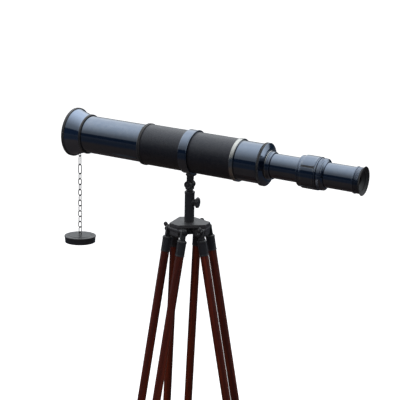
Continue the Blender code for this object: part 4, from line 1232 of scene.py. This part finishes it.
def makeHead():
    # a flat cast plate with three lobes, and under each a lug that the leg's two eyes hang on
    top, bottom = head["top"], head["bottom"]
    outline = []
    for leg in legNames:
        direction = Vector(joints[leg + "_fold"]["axis"]).cross(Vector((0, 0, 1))).to_2d()
        across = Vector((-direction.y, direction.x))
        for side in (-1, 1):
            corner = direction * head["reach"] + across * head["halfWidth"] * side
            inward = [-direction * 3 * mm, -across * side * 3 * mm]
            steps = inward if side < 0 else inward[::-1]
            outline += [tuple(corner + steps[0]), tuple(corner + (steps[0] + steps[1]) * 0.3),
                        tuple(corner + steps[1])]
    bore = turned(rod(bottom - mm, top + mm, column["radius"] + 0.05 * mm), "Z", fineness["knob"])
    plate = carved(prism(outline, top - head["thickness"], top, "Z", 0.9 * mm), [bore])
    collar = turned([(bottom + 4 * mm, 12.9 * mm), (bottom + 4 * mm, head["hub"], mm),
                     (top - 5 * mm, head["hub"]), (top - 5 * mm, 12.9 * mm)], "Z", fineness["knob"])
    parts = [plate, collar]
    low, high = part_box("rear_leg_hinge_bolt")
    hingeHeight = low.z / 2 + high.z / 2 - mountSpace.translation.z
    for leg in legNames:
        space = mountSpace.inverted() @ hingeSpace(leg)
        space.translation = Vector((space.translation.x, space.translation.y, hingeHeight))
        inner, outer = head["lugInner"] - head["hinge"], head["reach"] - 0.5 * mm - head["hinge"]
        low, high = bottom - hingeHeight, top - 3.5 * mm - hingeHeight
        side = [(inner, high), (inner, low + 6 * mm), (inner + 6 * mm, low), (outer - 5 * mm, low)]
        side += arc(5 * mm, -90, 0, 5, (outer - 5 * mm, low + 5 * mm))[1:] + [(outer, high)]
        lug = prism(side, -head["lugHalf"], head["lugHalf"], "Y", 1.2 * mm)
        boss = turned([(-head["bossHalf"], 3.3 * mm), (-head["bossHalf"], head["boss"], 0.8 * mm),
                       (-18.5 * mm, head["boss"] + 0.4 * mm, mm), (-15 * mm, head["boss"] + 2.6 * mm),
                       (15 * mm, head["boss"] + 2.6 * mm), (18.5 * mm, head["boss"] + 0.4 * mm, mm),
                       (head["bossHalf"], head["boss"], 0.8 * mm), (head["bossHalf"], 3.3 * mm)], "Y",
                      fineness["rod"])
        rib = prism([(-9 * mm, high), (-9 * mm, low + 9 * mm), (-3 * mm, low + 5 * mm), (6 * mm, high)],
                    -19.5 * mm, 19.5 * mm, "Y", 1.0 * mm)
        for part in (lug, boss, rib):
            part.transform(space)
            parts.append(part)
    # the plate takes the lighter black copy, painted light for its lit top
    finishPiece("tripodHead", joined(*parts), mountSpace, "head", "plate", ["tripod_head"])


makeChain()
makeCap()
makeSaddle()
makeYoke()
makeTiltBolt()
makeColumn()
columnWheel = lobedKnob(10 * mm, 17 * mm, 18.5 * mm, 25.5 * mm, 14 * mm)
finishPiece("columnKnob", columnWheel, knobSpace("column_knob_turn",
                                                 (-joints["column_knob_turn"]["axis"][1],
                                                  joints["column_knob_turn"]["axis"][0], 0)),
            "column_clamp", "black", ["column_knob"])
makeHead()
print("mount built")


# Legs, each in its own axes: Z runs up the leg, Y along the hinge

leg = {"spacing": 59 * mm, "rod": 10.8 * mm, "rodTop": -30 * mm, "rodEnd": -795 * mm,
       "socketTop": -22 * mm, "socketEnd": -62 * mm, "socket": 12.4 * mm, "tangHalf": 3 * mm,
       "tang": 8 * mm}
bracket = {"top": -765 * mm, "bottom": -800 * mm, "halfDepth": 14.5 * mm, "halfWidth": 44 * mm,
           "corner": 7 * mm, "boss": 7 * mm, "bossEnd": 18 * mm}
slat = {"top": -585 * mm, "halfDepth": 10 * mm, "halfWidth": 15 * mm, "chamfer": 2.5 * mm}
foot = {"radius": 20.5 * mm, "height": 34 * mm, "grooves": 3, "pocket": 0.3 * mm}


def makeHinge(name):
    # a coach bolt with a domed head on one side and a cast wing nut on the other
    face = leg["spacing"] / 2 + leg["tangHalf"] + 0.3 * mm
    bolt = [(-face - 7 * mm, 0)] + threadOutline(-face - 7 * mm, -face - 0.5 * mm, head["bolt"], 0.8 * mm)
    bolt += [(face, head["bolt"]), (face, 7 * mm, 0.5 * mm), (face + 1.5 * mm, 7 * mm, 0.5 * mm),
             (face + 3.6 * mm, 6 * mm, mm), (face + 5 * mm, 4 * mm, mm), (face + 5.5 * mm, 0)]
    washer = tube(face - 0.1 * mm, face + 0.5 * mm, 7.9 * mm, head["bolt"] - 0.2 * mm)
    shape = joined(turned(bolt, "Y", fineness["rod"]), turned(washer, "Y", fineness["rod"], 0.15 * mm))
    finishPiece(name + "_hingeBolt", shape, hingeSpace(name), "head", "black", [name + "_hinge_bolt"])
    hub = turned([(-face - 7 * mm, 3.3 * mm), (-face - 7 * mm, 4.2 * mm, 0.6 * mm),
                  (-face - 2 * mm, 5.6 * mm, 0.8 * mm), (-face, 6.6 * mm, 0.4 * mm), (-face, 3.3 * mm)],
                 "Y", fineness["small"])
    ears = []
    for side in (-1, 1):
        rootY = side * 3.4 * mm
        web = [(-face - 1.2 * mm, rootY), (-face - 6.5 * mm, rootY), (-face - 10 * mm, side * 6.5 * mm),
               (-face - 4.6 * mm, side * 12 * mm), (-face - 1.6 * mm, side * 7.2 * mm)]
        ear = arc(6.2 * mm, 0, 345, 23, (-face - 7.7 * mm, side * 6.6 * mm))
        ears += [prism(web, -1.8 * mm, 1.8 * mm, "X", 0.6 * mm),
                 prism(ear, -3.3 * mm, 3.3 * mm, "X", 1.9 * mm)]
    wings = moved(joined(hub, *ears), (0, 0, 0), 14, "Y")
    finishPiece(name + "_wingNut", wings, hingeSpace(name), name + "_nut", "black", [name + "_hinge_nut"])


def makeRodAndSocket(name, label, side):
    space = legSpace(name) @ Matrix.Translation((0, side * leg["spacing"] / 2, 0))
    top, end, radius, wood = leg["socketTop"], leg["socketEnd"], leg["socket"], leg["rod"]
    cup = turned([(end, wood + clearance), (end, radius - 0.2 * mm, 0.5 * mm),
                  (end + 2.6 * mm, radius - 0.2 * mm, 0.3 * mm),
                  (end + 3 * mm, radius - 0.9 * mm, 0.2 * mm),
                  (top - 7 * mm, radius - 0.7 * mm, 0.4 * mm), (top - 6.5 * mm, radius, 0.5 * mm),
                  (top - 2 * mm, radius, 1.6 * mm), (top, 9.4 * mm, mm), (top, 0),
                  (leg["rodTop"] + clearance, 0), (leg["rodTop"] + clearance, wood + clearance)], "Z",
                 fineness["rod"])
    half = leg["tangHalf"]
    outline = [(leg["tang"] + 1.2 * mm, top - 2 * mm), (leg["tang"], top + 4 * mm)] + arc(leg["tang"], 0,
            180, 24)
    outline += [(-leg["tang"], top + 4 * mm), (-leg["tang"] - 1.2 * mm, top - 2 * mm)]
    hole = turned(rod(-half - mm, half + mm, head["bolt"] + clearance), "Y", fineness["small"])
    tang = carved(prism(outline, -half, half, "Y", 0.8 * mm), [hole])
    screw = grown(ringOfScrews, {"Screw Count": 1, "Radius": radius - 0.9 * mm, "Start": 0.0,
                                 "Head": 2.1 * mm}, finish["chain"])
    moved(screw, (0, 0, 0), -90, "Y")
    screw.transform(Matrix.Rotation(math.radians(180 if side > 0 else 0), 4, "Z"))
    moved(screw, (0, 0, (top + end) / 2 - 6 * mm))
    finishPiece(f"{name}_socket_{label}_cup", joined(cup, tang, screw), space, name, "black",
                [f"{name}_socket_{label}"])
    stick = turned([(leg["rodEnd"], 0), (leg["rodEnd"], wood, mm), (leg["rodTop"], wood, mm),
                    (leg["rodTop"], 0)], "Z", fineness["rod"])
    finishPiece(f"{name}_pole_{label}", stick, space, name, "wood", [f"{name}_rod_{label}"])


def makeBracket(name):
    # the lower casting: two collars round the poles, joined by a web that the sliding slat passes through
    low, high = bracket["bottom"], bracket["top"]
    depth, width = slat["halfDepth"] + clearance, slat["halfWidth"] + clearance
    outline = roundedRectangle(bracket["halfDepth"], bracket["halfWidth"], bracket["corner"], 8)
    block = prism(outline, low, high, "Z", 1.6 * mm)
    cutters = [prism(rectangle(-depth, depth, -width, width), low - mm, high + mm, "Z", 0)]
    for side in (-1, 1):
        bore = turned(rod(leg["rodEnd"] - clearance, high + mm, leg["rod"] + clearance), "Z",
                      fineness["rod"])
        cutters.append(moved(bore, (0, side * leg["spacing"] / 2, 0)))
    middle = (low + high) / 2
    hole = moved(turned(rod(depth - 2 * mm, 19 * mm, 3.3 * mm), "X", fineness["small"]), (0, 0, middle))
    parts = [carved(block, cutters + [hole])]
    boss = turned([(depth + 2.5 * mm, 3.3 * mm), (depth + 2.5 * mm, 9 * mm),
                   (bracket["halfDepth"] + 1.2 * mm, 8.6 * mm, mm),
                   (bracket["halfDepth"] + 1.6 * mm, bracket["boss"], 0.6 * mm),
                   (bracket["bossEnd"], bracket["boss"], 0.7 * mm), (bracket["bossEnd"], 3.3 * mm)], "X",
                  fineness["rod"])
    parts.append(moved(boss, (0, 0, middle)))
    for side in (-1, 1):
        lip = turned(tube(high - 0.5 * mm, high + 0.0 * mm, 13.6 * mm, leg["rod"] + clearance), "Z",
                     fineness["rod"], 0.2 * mm)
        parts.append(moved(lip, (0, side * leg["spacing"] / 2, 0)))
    finishPiece(name + "_casting", joined(*parts), legSpace(name), name, "black", [name + "_bracket"])
    wheel = lobedKnob(slat["halfDepth"] + clearance, 18.5 * mm, 20 * mm, 28.5 * mm, 13 * mm)
    finishPiece(name + "_clampWheel", wheel, knobSpace(name + "_clamp_turn",
                                                       joints[name + "_fold"]["axis"]), name + "_clamp",
                "black", [name + "_clamp_knob"])


def makeLowerLeg(name):
    space = legSpace(name)
    splay = math.acos(joints[name + "_extend"]["axis"][2])
    floorDrop = space.translation.z / math.cos(splay)
    depth, width, chamfer = slat["halfDepth"], slat["halfWidth"], slat["chamfer"]
    outline = [(depth, width - chamfer), (depth - chamfer, width), (-depth + chamfer, width),
               (-depth, width - chamfer), (-depth, -width + chamfer), (-depth + chamfer, -width),
               (depth - chamfer, -width), (depth, -width + chamfer)]
    board = prism(outline, -floorDrop + 16 * mm, slat["top"], "Z", 0.6 * mm)
    finishPiece(name + "_board", board, space, name + "_lower", "wood", [name + "_lower_slat"])
    # a rubber boot with shallow grooves, its sole laid flat on the floor
    top, radius = -floorDrop + foot["height"], foot["radius"]
    boot = [(top, 0), (top, radius - 1.6 * mm, 1.2 * mm), (top - 3 * mm, radius, mm)]
    for k in range(foot["grooves"]):
        along = top - (8 + 5 * k) * mm
        boot += [(along, radius, 0.5 * mm), (along - 0.5 * mm, radius - 0.9 * mm, 0.3 * mm),
                 (along - 1.5 * mm, radius - 0.9 * mm, 0.3 * mm), (along - 2 * mm, radius, 0.5 * mm)]
    boot += [(-floorDrop + 8 * mm, radius, mm), (-floorDrop + 2 * mm, radius - 3 * mm, 0),
             (-floorDrop + 2 * mm, 0)]
    sole = turned(boot, "Z", fineness["knob"])
    for vert in sole.verts:
        if vert.co.z < -floorDrop + 3.5 * mm:
            vert.co.z = -floorDrop - vert.co.x * math.tan(splay)
    gap = foot["pocket"]
    pocket = prism(rectangle(-depth - gap, depth + gap, -width - gap, width + gap),
                   -floorDrop + 16 * mm - gap, -floorDrop + 56 * mm, "Z", 0)
    finishPiece(name + "_boot", carved(sole, [pocket]), space, name + "_lower", "rubber",
                [name + "_foot"])


for legName in legNames:
    makeHinge(legName)
    makeRodAndSocket(legName, "a", -1)
    makeRodAndSocket(legName, "b", 1)
    makeBracket(legName)
    makeLowerLeg(legName)
print("legs built")


# Studio: a pale floor, one wide softbox overhead, and the camera

studio = {"cameraBack": 2.88, "cameraSide": 0.0263, "cameraUp": 0.551, "azimuth": 28.3, "pitch": 13.2,
          "roll": -1.19, "lens": 105.2, "floor": 80.0, "softboxHeight": 1.7, "softboxFront": 3.6,
          "softboxBack": 3.2, "softboxWidth": 7.0, "softboxPower": 105.0, "keyPower": 26.0,
          "fillPower": 10.0}
dimTint, ceilingTint = (0.30, 0.54, 1.0), (0.93, 0.97, 1.0)
# angle over the object from the near horizon to the far one, brightness, tint
ceiling = {"strength": 2.3, "stops": ((0, 0.028, dimTint), (24.6, 0.028, dimTint),
                                      (25.6, 0.11, ceilingTint), (46, 0.18, ceilingTint),
                                      (65, 0.35, ceilingTint), (85, 0.58, ceilingTint),
                                      (109, 0.82, ceilingTint), (145, 0.85, ceilingTint),
                                      (158, 0.58, ceilingTint), (167.5, 0.42, ceilingTint),
                                      (169.5, 0.03, dimTint))}


def makeCamera():
    azimuth, pitch, roll = (math.radians(studio[key]) for key in ("azimuth", "pitch", "roll"))
    right = Vector((math.cos(azimuth), math.sin(azimuth), 0))
    away = Vector((-math.sin(azimuth), math.cos(azimuth), 0))
    up = Vector((0, 0, 1))
    ahead = away * math.cos(pitch) - up * math.sin(pitch)
    above = away * math.sin(pitch) + up * math.cos(pitch)
    across = right * math.cos(roll) - above * math.sin(roll)
    above = above * math.cos(roll) + right * math.sin(roll)
    place = mountSpace.translation + right * studio["cameraSide"]
    place = place - away * studio["cameraBack"] + up * studio["cameraUp"]
    camera = bpy.data.objects.new("camera", bpy.data.cameras.new("camera"))
    camera.data.lens = studio["lens"]
    camera.data.clip_end = 200
    camera.matrix_world = Matrix.Translation(place) @ Matrix((across, above,
                                                              -ahead)).transposed().to_4x4()
    scene.collection.objects.link(camera)
    scene.camera = camera
    return right, away


def makeFloor():
    half = studio["floor"] / 2
    bm = bmesh.new()
    bmesh.ops.create_grid(bm, x_segments=8, y_segments=8, size=half)
    mesh = bpy.data.meshes.new("floor")
    bm.to_mesh(mesh)
    bm.free()
    floor = bpy.data.objects.new("floor", mesh)
    floor.location.z = -0.5 * mm
    scene.collection.objects.link(floor)
    material = bpy.data.materials.new("paleFloor")
    material.use_nodes = True
    tree = material.node_tree
    shader = tree.nodes["Principled BSDF"]
    shader.inputs["Roughness"].default_value = 0.9
    place = ownAxes(tree)
    clouds = noise(tree, place, 3.0, 5.0)
    pale = blendColors(tree, clouds, (0.86, 0.86, 0.86), (0.90, 0.90, 0.90))
    seen = addNode(tree, "ShaderNodeLightPath").outputs["Is Camera Ray"]
    # reflections see a warm patch round the object and dark beyond it
    reach = addNode(tree, "ShaderNodeVectorMath", {0: place}, operation="LENGTH").outputs["Value"]
    beyond = between(tree, reach, 2.2, 3.2)
    reflected = blendColors(tree, beyond, (0.058, 0.041, 0.034), (0.014, 0.024, 0.044))
    tree.links.new(blendColors(tree, seen, reflected, pale), shader.inputs["Base Color"])
    shader.inputs["Emission Color"].default_value = (1, 1, 1, 1)
    tree.links.new(times(tree, seen, 0.72), shader.inputs["Emission Strength"])
    mesh.materials.append(material)


def makeLight(name, place, target, width, depth, power, color, glossy=True):
    light = bpy.data.lights.new(name, "AREA")
    light.shape = "RECTANGLE"
    light.size, light.size_y = width, depth
    light.energy = power
    light.color = color
    obj = bpy.data.objects.new(name, light)
    back = Vector(place) - Vector(target)
    obj.matrix_world = Matrix.Translation(place) @ back.to_track_quat("Z", "Y").to_matrix().to_4x4()
    obj.visible_camera = False
    obj.visible_glossy = glossy
    scene.collection.objects.link(obj)
    return obj


def makeLights(right, away):
    front, back = studio["softboxFront"], studio["softboxBack"]
    over = tubeCenter + Vector((0, 0, studio["softboxHeight"])) + away * (back - front) / 2
    softbox = makeLight("softbox", over, over - Vector((0, 0, 1)), studio["softboxWidth"], front + back,
                        studio["softboxPower"], (0.90, 0.96, 1.0), False)
    softbox.matrix_world = Matrix.Translation(over) @ Matrix.Rotation(math.radians(studio["azimuth"]), 4,
            "Z")
    aim = Vector((0, 0, 1.0))
    makeLight("key", aim - away * 2.6 - right * 1.6 + Vector((0, 0, 1.2)), aim, 1.2, 1.2,
              studio["keyPower"], (1.0, 0.96, 0.92), False)
    makeLight("fill", aim - away * 2.2 + right * 2.4 + Vector((0, 0, 0.2)), aim, 1.4, 1.4,
              studio["fillPower"], (1.0, 0.98, 0.96), False)


def makeWorld(away):
    # white to the camera; reflections see a ceiling that fades toward the front, and dim surroundings
    world = bpy.data.worlds.new("studio")
    scene.world = world
    world.use_nodes = True
    tree = world.node_tree
    background = tree.nodes["Background"]
    path = addNode(tree, "ShaderNodeLightPath")
    direction = addNode(tree, "ShaderNodeTexCoord").outputs["Generated"]
    nearer = addNode(tree, "ShaderNodeVectorMath", {0: direction, 1: tuple(-away)},
                     operation="DOT_PRODUCT")
    height = addNode(tree, "ShaderNodeSeparateXYZ", {0: direction}).outputs["Z"]
    angle = calc(tree, "DEGREES", calc(tree, "ARCTAN2", height, nearer.outputs["Value"]))
    stops = [(degrees / 180, tuple(part * light for part in tint)) for degrees, light,
             tint in ceiling["stops"]]
    reflected = ramp(tree, calc(tree, "DIVIDE", angle, 180.0), *stops)
    glossy = path.outputs["Is Glossy Ray"]
    lit = blendColors(tree, glossy, (0.42, 0.42, 0.43), reflected)
    tree.links.new(blendColors(tree, path.outputs["Is Camera Ray"], lit, (1.0, 1.0, 1.0)),
                   background.inputs["Color"])
    strength = calc(tree, "MULTIPLY_ADD", glossy, ceiling["strength"] - 1.0, 1.0)
    tree.links.new(strength, background.inputs["Strength"])


cameraRight, cameraAway = makeCamera()
makeFloor()
makeLights(cameraRight, cameraAway)
makeWorld(cameraAway)
scene.view_settings.view_transform = "Standard"
print("studio ready")
